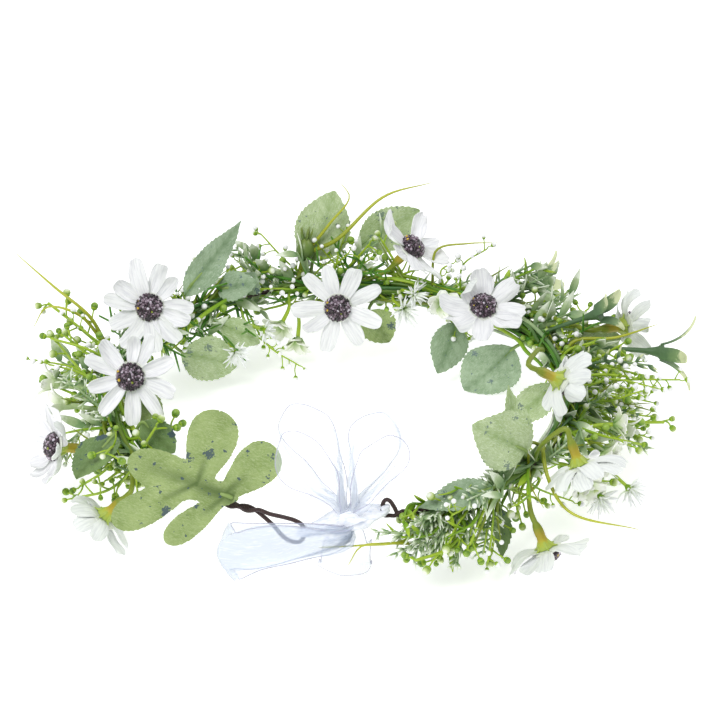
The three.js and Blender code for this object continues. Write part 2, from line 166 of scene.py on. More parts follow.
def smooth_path(points: Sequence[Sequence[float]], count: int) -> Array:
    """A centripetal spline through points, sampled evenly along its length.

    Args:
        points: At least two points, in millimetres.
        count: How many samples to give.

    Returns:
        An array of count points.
    """
    p = np.asarray(points, float)
    p = np.vstack([2 * p[0] - p[1], p, 2 * p[-1] - p[-2]])
    steps = np.maximum(np.linalg.norm(np.diff(p, axis=0), axis=1), 1e-4) ** 0.5
    t = np.concatenate([[0.0], np.cumsum(steps)])
    pieces = []
    for i in range(1, len(p) - 2):
        s = np.linspace(t[i], t[i + 1], 14, endpoint=False)[:, None]

        def mix(a: Array, b: Array, low: float, high: float, s: Array = s) -> Array:
            """The straight blend of two rows between two knots."""
            return ((high - s) * a + (s - low) * b) / (high - low)

        a1 = mix(p[i - 1], p[i], t[i - 1], t[i])
        a2 = mix(p[i], p[i + 1], t[i], t[i + 1])
        a3 = mix(p[i + 1], p[i + 2], t[i + 1], t[i + 2])
        b1 = mix(a1, a2, t[i - 1], t[i + 1])
        b2 = mix(a2, a3, t[i], t[i + 2])
        pieces.append(mix(b1, b2, t[i], t[i + 1]))
    line = np.vstack([*pieces, p[-2:-1]])
    run = np.concatenate([[0.0], np.cumsum(np.linalg.norm(np.diff(line, axis=0), axis=1))])
    want = np.linspace(0, run[-1], count)
    return np.column_stack([np.interp(want, run, line[:, k]) for k in range(3)])


def path_length(line: Array) -> float:
    """The length of a line of points."""
    return float(np.linalg.norm(np.diff(line, axis=0), axis=1).sum())


def frames_along(line: Array, hint: Sequence[float] = (0.31, 0.17, 0.93)) -> tuple[Array, Array, Array]:
    """Tangents, normals and binormals along a line that don't spin about it."""
    tangents = np.gradient(line, axis=0)
    tangents /= np.maximum(np.linalg.norm(tangents, axis=1, keepdims=True), 1e-9)
    normal = np.asarray(hint, float)
    normals = []
    for tangent in tangents:
        flat = normal - tangent * float(normal @ tangent)
        if np.linalg.norm(flat) < 1e-3:
            flat = np.cross(tangent, (0.6, -0.7, 0.3))
        normal = unit(flat)
        normals.append(normal)
    held = np.array(normals)
    return tangents, held, np.cross(tangents, held)


def facing(place: Sequence[float], axis: Sequence[float], normal: Sequence[float]) -> Array:
    """The matrix that puts X along axis, Z as near normal as that allows, and the origin at place."""
    x = unit(axis)
    z = unit(np.asarray(normal, float) - x * float(np.dot(normal, x)))
    made = np.eye(4)
    made[:3, 0], made[:3, 1], made[:3, 2], made[:3, 3] = x, np.cross(z, x), z, place
    return made


def moved(matrix: Array, points: Array) -> Array:
    """Points of any grid shape, taken through a 4 by 4 matrix."""
    return points @ matrix[:3, :3].T + matrix[:3, 3]


def turned_about(axis: Sequence[float], angle: float) -> Array:
    """The 4 by 4 matrix of a turn in radians about an axis through the origin."""
    x, y, z = unit(axis)
    c, s = math.cos(angle), math.sin(angle)
    k = np.array([[0, -z, y], [z, 0, -x], [-y, x, 0]])
    made = np.eye(4)
    made[:3, :3] = np.eye(3) + s * k + (1 - c) * (k @ k)
    return made


def ball_template(segments: int = 10, rings: int = 6) -> tuple[Array, list[tuple[int, ...]]]:
    """Points and faces of a unit ball with its poles on Z."""
    rows = [(math.sin(math.pi * i / rings), math.cos(math.pi * i / rings)) for i in range(1, rings)]
    points = [(0.0, 0.0, 1.0)]
    for radius, height in rows:
        for k in range(segments):
            turn = 2 * math.pi * k / segments
            points.append((radius * math.cos(turn), radius * math.sin(turn), height))
    points.append((0.0, 0.0, -1.0))
    faces: list[tuple[int, ...]] = []
    last = len(points) - 1
    for k in range(segments):
        n = (k + 1) % segments
        faces.append((0, 1 + k, 1 + n))
        for i in range(rings - 2):
            a, b = 1 + i * segments, 1 + (i + 1) * segments
            faces.append((a + k, b + k, b + n, a + n))
        a = 1 + (rings - 2) * segments
        faces.append((a + k, last, a + n))
    return np.array(points), faces


# ---------------------------------------------------------------- mesh drafts


class MeshDraft:
    """A mesh being gathered from tubes, plates, turned shapes and balls, in millimetres.

    Each point carries a tone, 0 at a root to 1 at a tip (on cloth leaves, the strength of painted rib shade),
    and a lay: its place along and across its own piece in millimetres and a random number, which patterns are drawn by.
    """

    def __init__(self) -> None:
        """Starts with no points."""
        self.points: list[Array] = []
        self.tones: list[Array] = []
        self.lays: list[Array] = []
        self.faces: list[tuple[int, ...]] = []
        self.finishes: list[int] = []
        self.count = 0

    def add(self, points: Array, faces: list[tuple[int, ...]], finish: int | list[int], tone: Array | float,
            lay: Array | None = None) -> None:
        """Adds points and the faces between them.

        Args:
            points: An array of N points.
            faces: Corner numbers within those points.
            finish: The finish of every face, or one for each.
            tone: One value, or N of them.
            lay: N vectors, or None to use the points.
        """
        total = len(points)
        self.points.append(points)
        self.tones.append(np.broadcast_to(np.asarray(tone, float), (total,)))
        self.lays.append(points if lay is None else lay)
        base = self.count
        self.faces.extend(tuple(base + i for i in face) for face in faces)
        self.finishes.extend([finish] * len(faces) if isinstance(finish, int) else finish)
        self.count += total

    def add_tube(self, line: Array, radii: float | Sequence[float], finish: int = 0,
                 tone: tuple[float, float] = (0.0, 1.0), sides: int = 8, mark: float = 0.0) -> None:
        """Adds a round tube along a line, with rounded ends.

        Args:
            line: The points of its middle.
            radii: One radius, or radii spread evenly along it.
            finish: The finish of its faces.
            tone: The tone at its start and at its end.
            sides: How many sides the section has.
            mark: The random number of its lay.
        """
        spread = np.atleast_1d(np.asarray(radii, float))
        share = np.linspace(0, 1, len(line))
        radius = np.interp(share, np.linspace(0, 1, len(spread)), spread)
        tangents, normals, binormals = frames_along(line)
        line = np.vstack([line[0] - 0.5 * radius[0] * tangents[0], line,
                          line[-1] + 0.5 * radius[-1] * tangents[-1]])
        radius = np.concatenate([[0.6 * radius[0]], radius, [0.6 * radius[-1]]])
        normals = np.vstack([normals[:1], normals, normals[-1:]])
        binormals = np.vstack([binormals[:1], binormals, binormals[-1:]])
        share = np.concatenate([[0.0], share, [1.0]])
        turn = np.linspace(0, 2 * math.pi, sides, endpoint=False)
        ring = (np.cos(turn)[None, :, None] * normals[:, None] + np.sin(turn)[None, :, None] * binormals[:, None])
        points = line[:, None] + radius[:, None, None] * ring
        along = np.concatenate([[0.0], np.cumsum(np.linalg.norm(np.diff(line, axis=0), axis=1))])
        lay = np.stack(np.broadcast_arrays(along[:, None], turn[None] * radius.mean(), mark), axis=-1)
        rows = len(line)
        faces = [
            (i * sides + k, i * sides + (k + 1) % sides, (i + 1) * sides + (k + 1) % sides, (i + 1) * sides + k)
            for i in range(rows - 1)
            for k in range(sides)
        ]
        faces.append(tuple(reversed(range(sides))))
        faces.append(tuple(range((rows - 1) * sides, rows * sides)))
        tones = np.repeat(tone[0] + (tone[1] - tone[0]) * share, sides)
        self.add(points.reshape(-1, 3), faces, finish, tones, lay.reshape(-1, 3))

    def add_plate(self, grid: Array, thickness: float, finishes: tuple[int, int], tone: Array | float,
                  lay: Array) -> None:
        """Adds a thin closed plate around a grid of points.

        Args:
            grid: The middle surface, rows by columns by 3.
            thickness: How thick it is.
            finishes: Those of its front and back.
            tone: One value or one for each grid point.
            lay: A vector for each grid point.
        """
        rows, columns = grid.shape[:2]
        cross = np.cross(np.gradient(grid, axis=0), np.gradient(grid, axis=1))
        size = np.linalg.norm(cross, axis=2, keepdims=True)
        normal = np.where(size > 1e-6, cross / np.maximum(size, 1e-9), 0)
        normal[-1], normal[0] = normal[-2], normal[1]
        front, back = grid + normal * thickness / 2, grid - normal * thickness / 2
        points = np.concatenate([front.reshape(-1, 3), back.reshape(-1, 3)])
        shift = rows * columns

        def at(i: int, k: int) -> int:
            """The number of a front point."""
            return i * columns + k

        cells = [(at(i, k), at(i + 1, k), at(i + 1, k + 1), at(i, k + 1))
                 for i in range(rows - 1) for k in range(columns - 1)]
        rim = [at(i, 0) for i in range(rows)] + [at(rows - 1, k) for k in range(1, columns)]
        rim += [at(i, columns - 1) for i in range(rows - 2, -1, -1)] + [at(0, k) for k in range(columns - 2, 0, -1)]
        faces = cells + [tuple(shift + i for i in reversed(cell)) for cell in cells]
        kinds = [finishes[0]] * len(cells) + [finishes[1]] * len(cells)
        for a, b in zip(rim, rim[1:] + rim[:1]):
            faces.append((b, a, a + shift, b + shift))
            kinds.append(finishes[1])
        tones = np.broadcast_to(np.asarray(tone, float), (rows, columns)).reshape(-1)
        self.add(points, faces, kinds, np.tile(tones, 2), np.tile(lay.reshape(-1, 3), (2, 1)))

    def add_turned(self, profile: Sequence[tuple[float, float]], place: Array, finish: int,
                   tones: Sequence[float], segments: int = 20, lobes: int = 0, depth: float = 0.0) -> None:
        """Adds a shape turned about Z, which may be ribbed.

        Args:
            profile: Radius and height pairs from one end to the other.
            place: The matrix it is put through.
            finish: The finish of its faces.
            tones: A tone for each pair.
            segments: How many sides it has.
            lobes: How many ribs run down it.
            depth: How far the ribs stand out, as a share of the radius.
        """
        turn = np.linspace(0, 2 * math.pi, segments, endpoint=False)
        rib = 1 + depth * np.cos(lobes * turn)
        shape = np.array(profile, float)
        radius = np.maximum(shape[:, :1], 1e-3) * rib[None]
        points = np.stack([radius * np.cos(turn), radius * np.sin(turn),
                           np.repeat(shape[:, 1:], segments, axis=1)], axis=-1)
        rows = len(shape)
        faces = [
            (i * segments + k, i * segments + (k + 1) % segments,
             (i + 1) * segments + (k + 1) % segments, (i + 1) * segments + k)
            for i in range(rows - 1)
            for k in range(segments)
        ]
        faces.append(tuple(reversed(range(segments))))
        faces.append(tuple(range((rows - 1) * segments, rows * segments)))
        self.add(moved(place, points.reshape(-1, 3)), faces, finish, np.repeat(tones, segments),
                 points.reshape(-1, 3))

    def add_balls(self, centres: Array, radii: Array, finish: int, tone: Array | float, segments: int = 10,
                  rings: int = 6, stretch: float = 1.0, axis: Sequence[float] = (0, 0, 1)) -> None:
        """Adds balls at the given centres, stretched along an axis."""
        template, faces = ball_template(segments, rings)
        way = unit(axis)
        shape = template + np.outer(template @ way, way) * (stretch - 1)
        tones = np.broadcast_to(np.asarray(tone, float), (len(centres),))
        for centre, radius, value in zip(centres, np.broadcast_to(radii, (len(centres),)), tones):
            self.add(centre + radius * shape, faces, finish, value)

    def build(self, name: str, finishes: Sequence["Finish"], sharp: float = 50.0) -> bpy.types.Object:
        """Makes the object.

        Args:
            name: The piece's name.
            finishes: In the order that the faces number them.
            sharp: Edges that bend by more than this many degrees stay sharp.

        Returns:
            The object, linked to the scene.
        """
        mesh = bpy.data.meshes.new(name)
        mesh.from_pydata((np.concatenate(self.points) * MM).tolist(), [], self.faces)
        mesh.polygons.foreach_set("material_index", np.array(self.finishes, np.int32))
        tone = mesh.attributes.new("tone", "FLOAT", "POINT")
        tone.data.foreach_set("value", np.concatenate(self.tones).astype(np.float32))
        lay = mesh.attributes.new("lay", "FLOAT_VECTOR", "POINT")
        lay.data.foreach_set("vector", np.concatenate(self.lays).astype(np.float32).reshape(-1))
        for finish in finishes:
            mesh.materials.append(finish.material())
        mesh.shade_smooth()
        mesh.set_sharp_from_angle(angle=math.radians(sharp))
        piece = bpy.data.objects.new(name, mesh)
        bpy.context.scene.collection.objects.link(piece)
        return piece


# ---------------------------------------------------------------- finishes


def linear(code: str) -> tuple[float, float, float, float]:
    """An sRGB hex colour as linear light."""
    values = [int(code[i:i + 2], 16) / 255 for i in (1, 3, 5)]
    low = [v / 12.92 if v <= 0.04045 else ((v + 0.055) / 1.055) ** 2.4 for v in values]
    return (low[0], low[1], low[2], 1.0)


def add_node(tree: bpy.types.NodeTree, kind: str, links: dict | None = None, stops: Sequence | None = None,
             **settings: object) -> bpy.types.Node:
    """Adds a node with its settings and links.

    Args:
        tree: The node tree.
        kind: The node's type name, without ShaderNode.
        links: A value or an output socket for each input, by name or number.
        stops: Place and hex colour pairs of a colour ramp.
        settings: The node's own settings.

    Returns:
        The node.
    """
    node = tree.nodes.new("ShaderNode" + kind)
    for name, value in settings.items():
        setattr(node, name, value)
    for place, value in (links or {}).items():
        socket = node.inputs[place]
        if isinstance(value, bpy.types.NodeSocket):
            tree.links.new(value, socket)
        else:
            socket.default_value = value
    if stops:
        elements = node.color_ramp.elements
        while len(elements) < len(stops):
            elements.new(0.5)
        for element, (place, code) in zip(elements, stops):
            element.position, element.color = place, linear(code)
    return node


@dataclass(frozen=True)
class Finish:
    """A finish made once, and shared by every piece that has it."""

    name: str

    def material(self) -> bpy.types.Material:
        """The material, made the first time that it is asked for."""
        made = bpy.data.materials.get(self.name)
        if made is None:
            made = bpy.data.materials.new(self.name)
            made.use_nodes = True
            tree = made.node_tree
            tree.nodes.clear()
            shader = add_node(tree, "BsdfPrincipled")
            output = add_node(tree, "OutputMaterial", {"Surface": shader.outputs[0]})
            output.is_active_output = True
            self.dress(tree, shader)
        return made

    def dress(self, tree: bpy.types.NodeTree, shader: bpy.types.Node) -> None:
        """Draws the finish on the shader."""
        raise NotImplementedError


@dataclass(frozen=True)
class CrepePaperWrap(Finish):
    """Dark-brown crepe paper wound round iron wire: matt, with a slanted edge at every turn."""

    name: str = "crepe_paper_wrapped_wire"
    turn_mm: float = 2.4

    def dress(self, tree: bpy.types.NodeTree, shader: bpy.types.Node) -> None:
        """Draws the turns of the wrap, and paper that is paler where each turn stands higher, towards its edge."""
        lay = add_node(tree, "Attribute", attribute_name="lay")
        slant = add_node(tree, "Mapping", {0: lay.outputs["Vector"], "Rotation": (0, 0, 0.5)})
        turns = add_node(tree, "TexWave", {"Vector": slant.outputs[0], "Scale": math.pi / 10 / self.turn_mm * 3.2,
                                           "Distortion": 1.2, "Detail": 2.0}, wave_profile="SAW")
        fibre = add_node(tree, "TexNoise", {"Vector": lay.outputs["Vector"], "Scale": 1.7, "Detail": 5.0})
        mixed = add_node(tree, "Math", {0: turns.outputs["Fac"], 1: fibre.outputs["Fac"]}, operation="MULTIPLY")
        ramp = add_node(tree, "ValToRGB", {0: mixed.outputs[0]},
                        stops=[(0.0, "#2B1B1A"), (0.45, "#46302E"), (1.0, "#6A4D49")])
        bump = add_node(tree, "Bump", {"Height": mixed.outputs[0], "Distance": 0.25 * MM, "Strength": 0.8})
        tree.links.new(ramp.outputs[0], shader.inputs["Base Color"])
        tree.links.new(bump.outputs[0], shader.inputs["Normal"])
        shader.inputs["Roughness"].default_value = 0.78
        shader.inputs["Sheen Weight"].default_value = 0.2


@dataclass(frozen=True)
class FloralTape(Finish):
    """Waxed green paper tape stretched round the stems: satin, with creases across it."""

    name: str = "waxed_floral_tape"

    def dress(self, tree: bpy.types.NodeTree, shader: bpy.types.Node) -> None:
        """Draws the stretch creases and their paler ridges."""
        lay = add_node(tree, "Attribute", attribute_name="lay")
        squeezed = add_node(tree, "Mapping", {0: lay.outputs["Vector"], "Scale": (0.35, 0.35, 1.4)})
        crease = add_node(tree, "TexNoise", {"Vector": squeezed.outputs[0], "Scale": 1.1, "Detail": 6.0})
        ramp = add_node(tree, "ValToRGB", {0: crease.outputs["Fac"]},
                        stops=[(0.3, "#46602C"), (0.55, "#63803E"), (0.75, "#8BA261")])
        bump = add_node(tree, "Bump", {"Height": crease.outputs["Fac"], "Distance": 0.5 * MM, "Strength": 0.7})
        tree.links.new(ramp.outputs[0], shader.inputs["Base Color"])
        tree.links.new(bump.outputs[0], shader.inputs["Normal"])
        shader.inputs["Roughness"].default_value = 0.55


@dataclass(frozen=True)
class PressedPolyester(Finish):
    """White polyester petal cloth, heat-pressed: soft lengthwise creases, a fine weave and a faint bloom."""

    name: str = "pressed_polyester_petal"
    root: str = "#E9EDE2"
    body: str = "#F7F7F9"
    weave_mm: float = 0.45  # coarser than the real 0.2 mm threads, so that the weave shows

    def dress(self, tree: bpy.types.NodeTree, shader: bpy.types.Node) -> None:
        """Draws greenish roots, painted grey shade in streaks along the hollows of the creases, and the bump of weave
        and creases.
        """
        lay = add_node(tree, "Attribute", attribute_name="lay")
        tone = add_node(tree, "Attribute", attribute_name="tone")
        streaks = add_node(tree, "Mapping", {0: lay.outputs["Vector"], "Scale": (0.12, 1.3, 1.0)})
        crease = add_node(tree, "TexNoise", {"Vector": streaks.outputs[0], "Scale": 1.0, "Detail": 3.0})
        base = add_node(tree, "ValToRGB", {0: tone.outputs["Fac"]},
                        stops=[(0.0, self.root), (0.28, self.body), (1.0, self.body)])
        # Painted shade: where the crease noise is low, in the hollows of the creases, the petal is greyed in streaks.
        shade = add_node(tree, "ValToRGB", {0: crease.outputs["Fac"]},
                         stops=[(0.3, "#E6E6E8"), (0.55, "#FFFFFD")])
        colour = add_node(tree, "Mix", {"Factor": 0.8, 6: base.outputs[0], 7: shade.outputs[0]},
                          data_type="RGBA", blend_type="MULTIPLY")
        weave = add_node(tree, "TexVoronoi", {"Vector": lay.outputs["Vector"], "Scale": 1 / self.weave_mm})
        both = add_node(tree, "Math", {0: weave.outputs["Distance"], 1: 0.12, 2: crease.outputs["Fac"]},
                        operation="MULTIPLY_ADD")
        bump = add_node(tree, "Bump", {"Height": both.outputs[0], "Distance": 0.6 * MM, "Strength": 0.55})
        tree.links.new(colour.outputs[2], shader.inputs["Base Color"])
        tree.links.new(bump.outputs[0], shader.inputs["Normal"])
        shader.inputs["Roughness"].default_value = 0.7
        shader.inputs["Sheen Weight"].default_value = 0.12
        shader.inputs["Specular IOR Level"].default_value = 0.3


@dataclass(frozen=True)
class SeedBeads(Finish):
    """Glued glass seed beads: dark plum to black, some mauve or clear, and small bright glints painted as pale
    lavender-white beads.
    """

    name: str = "glass_seed_beads"

    def dress(self, tree: bpy.types.NodeTree, shader: bpy.types.Node) -> None:
        """Gives each bead its own colour, some of them pale painted highlights."""
        island = add_node(tree, "NewGeometry")
        # Painted highlight: the lavender-white stop colours some beads as glints, in place of light caught on the
        # glass.
        ramp = add_node(tree, "ValToRGB", {0: island.outputs["Random Per Island"]},
                        stops=[(0.0, "#1B1218"), (0.3, "#33222D"), (0.5, "#4E3946"), (0.66, "#7A6674"),
                               (0.8, "#A898A6"), (0.9, "#D9D0DC"), (0.97, "#8E9A2E"), (0.985, "#D8B52C")])
        ramp.color_ramp.interpolation = "CONSTANT"
        tree.links.new(ramp.outputs[0], shader.inputs["Base Color"])
        shader.inputs["Roughness"].default_value = 0.16
        shader.inputs["IOR"].default_value = 1.52
        shader.inputs["Coat Weight"].default_value = 0.5
        shader.inputs["Coat Roughness"].default_value = 0.06


@dataclass(frozen=True)
class MouldedPolyethylene(Finish):
    """Injection-moulded polyethylene: waxy, tinted along each piece, with faint flow marks."""

    name: str = "moulded_polyethylene"
    stops: tuple[tuple[float, str], ...] = ((0.0, "#6F9A22"), (1.0, "#B7CE5A"))
    roughness: float = 0.42
    mark_mm: float = 2.2
    depth_mm: float = 0.12

    def dress(self, tree: bpy.types.NodeTree, shader: bpy.types.Node) -> None:
        """Draws the tint along the piece, its unevenness and the flow marks."""
        lay = add_node(tree, "Attribute", attribute_name="lay")
        tone = add_node(tree, "Attribute", attribute_name="tone")
        island = add_node(tree, "NewGeometry")
        marks = add_node(tree, "TexNoise", {"Vector": lay.outputs["Vector"], "Scale": 1 / self.mark_mm, "Detail": 4.0})
        shift = add_node(tree, "Math", {0: island.outputs["Random Per Island"], 1: 0.16, 2: tone.outputs["Fac"]},
                         operation="MULTIPLY_ADD")
        uneven = add_node(tree, "Math", {0: marks.outputs["Fac"], 1: 0.3, 2: shift.outputs[0]},
                          operation="MULTIPLY_ADD")
        ramp = add_node(tree, "ValToRGB", {0: uneven.outputs[0]},
                        stops=[(0.23 + 0.77 * place, code) for place, code in self.stops])
        bump = add_node(tree, "Bump", {"Height": marks.outputs["Fac"], "Distance": self.depth_mm * MM, "Strength": 0.5})
        tree.links.new(ramp.outputs[0], shader.inputs["Base Color"])
        tree.links.new(bump.outputs[0], shader.inputs["Normal"])
        shader.inputs["Roughness"].default_value = self.roughness
        shader.inputs["IOR"].default_value = 1.51
        shader.inputs["Specular IOR Level"].default_value = 0.45


@dataclass(frozen=True)
class PrintedLeafCloth(Finish):
    """Printed polyester leaf cloth: sage ground with pale fibres, slate flecks, and painted shade where the rib on the
    back shows through.
    """

    name: str = "printed_leaf_cloth"
    ground: tuple[str, str] = ("#7F9550", "#97AB67")
    fibre: str = "#C2CF9E"
    fleck: str = "#35495A"
    # rib is the colour of the painted shade where the rib shows through.
    rib: str = "#4C6429"
    fibre_share: float = 0.55
    fleck_pitch_mm: float = 8.0
    dot_pitch_mm: float = 3.2

    def dress(self, tree: bpy.types.NodeTree, shader: bpy.types.Node) -> None:
        """Draws ground, fibres, rib shadow, then large flecks and small dots on top."""
        lay = add_node(tree, "Attribute", attribute_name="lay").outputs["Vector"]
        tone = add_node(tree, "Attribute", attribute_name="tone").outputs["Fac"]
        cloud = add_node(tree, "TexNoise", {"Vector": lay, "Scale": 1 / 9, "Detail": 3.0})
        ground = add_node(tree, "ValToRGB", {0: cloud.outputs["Fac"]},
                          stops=[(0.35, self.ground[0]), (0.65, self.ground[1])])
        drawn = add_node(tree, "Mapping", {0: lay, "Scale": (0.55, 1.9, 1.0)})
        fibre = add_node(tree, "TexNoise", {"Vector": drawn.outputs[0], "Scale": 1.05, "Detail": 5.0,
                                            "Roughness": 0.7, "Distortion": 1.4})
        share = add_node(tree, "MapRange", {"Value": fibre.outputs["Fac"], "From Min": 0.46, "From Max": 0.66,
                                            "To Min": 0.0, "To Max": self.fibre_share})
        veiled = add_node(tree, "Mix", {"Factor": share.outputs[0], 6: ground.outputs[0], 7: linear(self.fibre)},
                          data_type="RGBA")
        # Painted shade: the tone darkens the cloth towards the rib colour near the ribs and veins, as their shadow
        # through the cloth.
        shade = add_node(tree, "Math", {0: tone, 1: 0.96}, operation="MULTIPLY")
        ribbed = add_node(tree, "Mix", {"Factor": shade.outputs[0], 6: veiled.outputs[2], 7: linear(self.rib)},
                          data_type="RGBA")
        ragged = add_node(tree, "TexNoise", {"Vector": lay, "Scale": 1.1, "Detail": 5.0})
        colour = ribbed.outputs[2]
        for pitch, reach, power in ((self.fleck_pitch_mm, 0.34, 3.0), (self.dot_pitch_mm, 0.24, 5.0)):
            cells = add_node(tree, "TexVoronoi", {"Vector": lay, "Scale": 1 / pitch})
            chance = add_node(tree, "SeparateColor", {0: cells.outputs["Color"]})
            size = add_node(tree, "Math", {0: chance.outputs[0], 1: power}, operation="POWER")
            limit = add_node(tree, "Math", {0: size.outputs[0], 1: reach}, operation="MULTIPLY")
            edge = add_node(tree, "Math", {0: ragged.outputs["Fac"], 1: 0.9, 2: -0.45}, operation="MULTIPLY_ADD")
            rough = add_node(tree, "Math", {0: edge.outputs[0], 1: cells.outputs["Distance"]}, operation="ADD")
            mask = add_node(tree, "Math", {0: rough.outputs[0], 1: limit.outputs[0]}, operation="LESS_THAN")
            weight = add_node(tree, "Math", {0: mask.outputs[0], 1: 0.85}, operation="MULTIPLY")
            colour = add_node(tree, "Mix", {"Factor": weight.outputs[0], 6: colour, 7: linear(self.fleck)},
                              data_type="RGBA").outputs[2]
        height = add_node(tree, "Math", {0: tone, 1: 1.2, 2: fibre.outputs["Fac"]}, operation="MULTIPLY_ADD")
        bump = add_node(tree, "Bump", {"Height": height.outputs[0], "Distance": 0.35 * MM, "Strength": 0.6})
        tree.links.new(colour, shader.inputs["Base Color"])
        tree.links.new(bump.outputs[0], shader.inputs["Normal"])
        shader.inputs["Roughness"].default_value = 0.72
        shader.inputs["Sheen Weight"].default_value = 0.1


@dataclass(frozen=True)
class Organza(Finish):
    """Sheer polyester organza: nearly clear where it is one layer, bluish white where it is gathered, with a faint
    emission that is painted light, a glow as if lit through.
    """

    name: str = "sheer_organza"
    colour: str = "#E9EFFA"
    alpha: float = 0.3
    glow: float = 0.06

    def dress(self, tree: bpy.types.NodeTree, shader: bpy.types.Node) -> None:
        """Sets the sheer tint and its opacity."""
        lay = add_node(tree, "Attribute", attribute_name="lay")
        threads = add_node(tree, "Mapping", {0: lay.outputs["Vector"], "Scale": (0.25, 1.6, 1.0)})
        slub = add_node(tree, "TexNoise", {"Vector": threads.outputs[0], "Scale": 0.8, "Detail": 4.0})
        ramp = add_node(tree, "ValToRGB", {0: slub.outputs["Fac"]},
                        stops=[(0.25, "#D3DEF2"), (0.5, self.colour), (0.85, "#FAFCFF")])
        tree.links.new(ramp.outputs[0], shader.inputs["Base Color"])
        shader.inputs["Alpha"].default_value = self.alpha
        shader.inputs["Roughness"].default_value = 0.38
        shader.inputs["Sheen Weight"].default_value = 0.15
        # Painted light: the emission makes the cloth glow faintly, standing in for light passing through it.
        shader.inputs["Emission Color"].default_value = linear("#E6EEFF")
        shader.inputs["Emission Strength"].default_value = self.glow


@dataclass(frozen=True)
class StudioPaper(Finish):
    """White studio paper, matt and evenly lit."""

    name: str = "matt_studio_paper"

    def dress(self, tree: bpy.types.NodeTree, shader: bpy.types.Node) -> None:
        """Draws the faint tooth of the paper."""
        place = add_node(tree, "TexCoord")
        tooth = add_node(tree, "TexNoise", {"Vector": place.outputs["Object"], "Scale": 60.0, "Detail": 3.0})
        ramp = add_node(tree, "ValToRGB", {0: tooth.outputs["Fac"]}, stops=[(0.3, "#FBFBFB"), (0.7, "#FFFFFF")])
        tree.links.new(ramp.outputs[0], shader.inputs["Base Color"])
        shader.inputs["Roughness"].default_value = 0.95
        shader.inputs["Emission Color"].default_value = (1.0, 1.0, 1.0, 1.0)
        shader.inputs["Emission Strength"].default_value = 0.45


WRAP = CrepePaperWrap()
TAPE = FloralTape()
PETAL = PressedPolyester()
PETAL_BACK = PressedPolyester("pressed_polyester_petal_back", "#D3DEB6", "#F1F4F1")
BEADS = SeedBeads()
BEAD_GROUND = MouldedPolyethylene("glued_bead_ground", ((0.0, "#241820"), (1.0, "#3B2C36")), 0.6)
CALYX = MouldedPolyethylene("moulded_calyx", ((0.0, "#A7BD58"), (0.3, "#B4BE42"), (0.5, "#B7A730"),
                                              (0.72, "#A8982A"), (1.0, "#7F8E26")), 0.45)
STEM = MouldedPolyethylene("moulded_olive_stem", ((0.0, "#46701C"), (0.6, "#657F22"), (1.0, "#80902A")), 0.42)
LIME = MouldedPolyethylene("moulded_lime_twig", ((0.0, "#4E7D16"), (0.6, "#7BA41B"), (1.0, "#A3BF34")), 0.4)
GREEN_TWIG = MouldedPolyethylene("moulded_green_twig", ((0.0, "#254F14"), (0.7, "#37701C"), (1.0, "#558A28")), 0.36)
BUD = MouldedPolyethylene("moulded_bud", ((0.0, "#4C7A1C"), (0.4, "#7F9F34"), (0.8, "#C6D68E"), (1.0, "#E9EEDC")), 0.4)
GREEN_BUD = MouldedPolyethylene("moulded_green_bud", ((0.0, "#315F14"), (0.5, "#648C22"), (1.0, "#96B548")), 0.36)
PEARL = MouldedPolyethylene("moulded_pearl_bead", ((0.0, "#C9D8A8"), (0.35, "#EEF0EA"), (1.0, "#FBFAFC")), 0.3)
BLOSSOM = MouldedPolyethylene("moulded_white_spike", ((0.0, "#B4CE86"), (0.25, "#EAF0E2"), (1.0, "#FAFBFC")), 0.5)
TRUMPET = MouldedPolyethylene("moulded_grey_green_trumpet", ((0.0, "#4B6A42"), (0.62, "#587750"), (0.9, "#809B68"),
                                                             (1.0, "#DCE3B4")), 0.5)
PALE_TRUMPET = MouldedPolyethylene("moulded_pale_trumpet", ((0.0, "#6B9440"), (0.35, "#B4CA8E"), (0.7, "#E2E9CE"),
                                                            (1.0, "#F7F8F0")), 0.5)
FEATHER = MouldedPolyethylene("moulded_feather_leaf", ((0.0, "#4A6C30"), (0.45, "#749460"), (0.8, "#A9BD8C"),
                                                       (1.0, "#E3EBD6")), 0.5)
GRASS = MouldedPolyethylene("moulded_grass", ((0.0, "#6B7C1A"), (0.5, "#8E9B22"), (1.0, "#B9BE38")), 0.34)
HIP = MouldedPolyethylene("moulded_hip", ((0.0, "#3F5A20"), (0.6, "#66803A"), (1.0, "#7C8E3E")), 0.38)
SAGE_LEAF = PrintedLeafCloth()
DARK_LEAF = PrintedLeafCloth("printed_leaf_cloth_dark", ("#5F7C44", "#789455"), "#A6B88A", fibre_share=0.35)
PALE_LEAF = PrintedLeafCloth("printed_leaf_cloth_pale", ("#A1B87C", "#B6C995"), "#E2EBCF", "#6F8379", "#84A05C", 0.75)
SILVER_LEAF = PrintedLeafCloth("printed_leaf_cloth_silver", ("#839C78", "#9FB594"), "#CBDAC2", "#5E7279", "#5C7B4E")
LEAF_RIB = MouldedPolyethylene("moulded_leaf_rib", ((0.0, "#5E7C34"), (0.6, "#6F8D3E"), (1.0, "#8AA258")), 0.45)
SHEER = Organza()
HEM = Organza("rolled_organza_hem", "#B4B1C8", 0.6, 0.0)
FOLDED = Organza("folded_sheer_organza", "#D2DFF3", 0.33, 0.0)
GATHERED = Organza("gathered_organza", "#FAFBFF", 0.9)


# ---------------------------------------------------------------- wire and tape


def settle(piece: bpy.types.Object, body: str, replaces: Sequence[str] = ()) -> bpy.types.Object:
    """Puts a finished piece on its body.

    Args:
        piece: The piece, in place.
        body: The CAD body that it moves with.
        replaces: The CAD nodes that it stands for.

    Returns:
        The piece.
    """
    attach(piece, body)
    if replaces:
        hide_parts(*replaces)
    log.info("%s: %d faces on %s", piece.name, len(piece.data.polygons), body)
    return piece


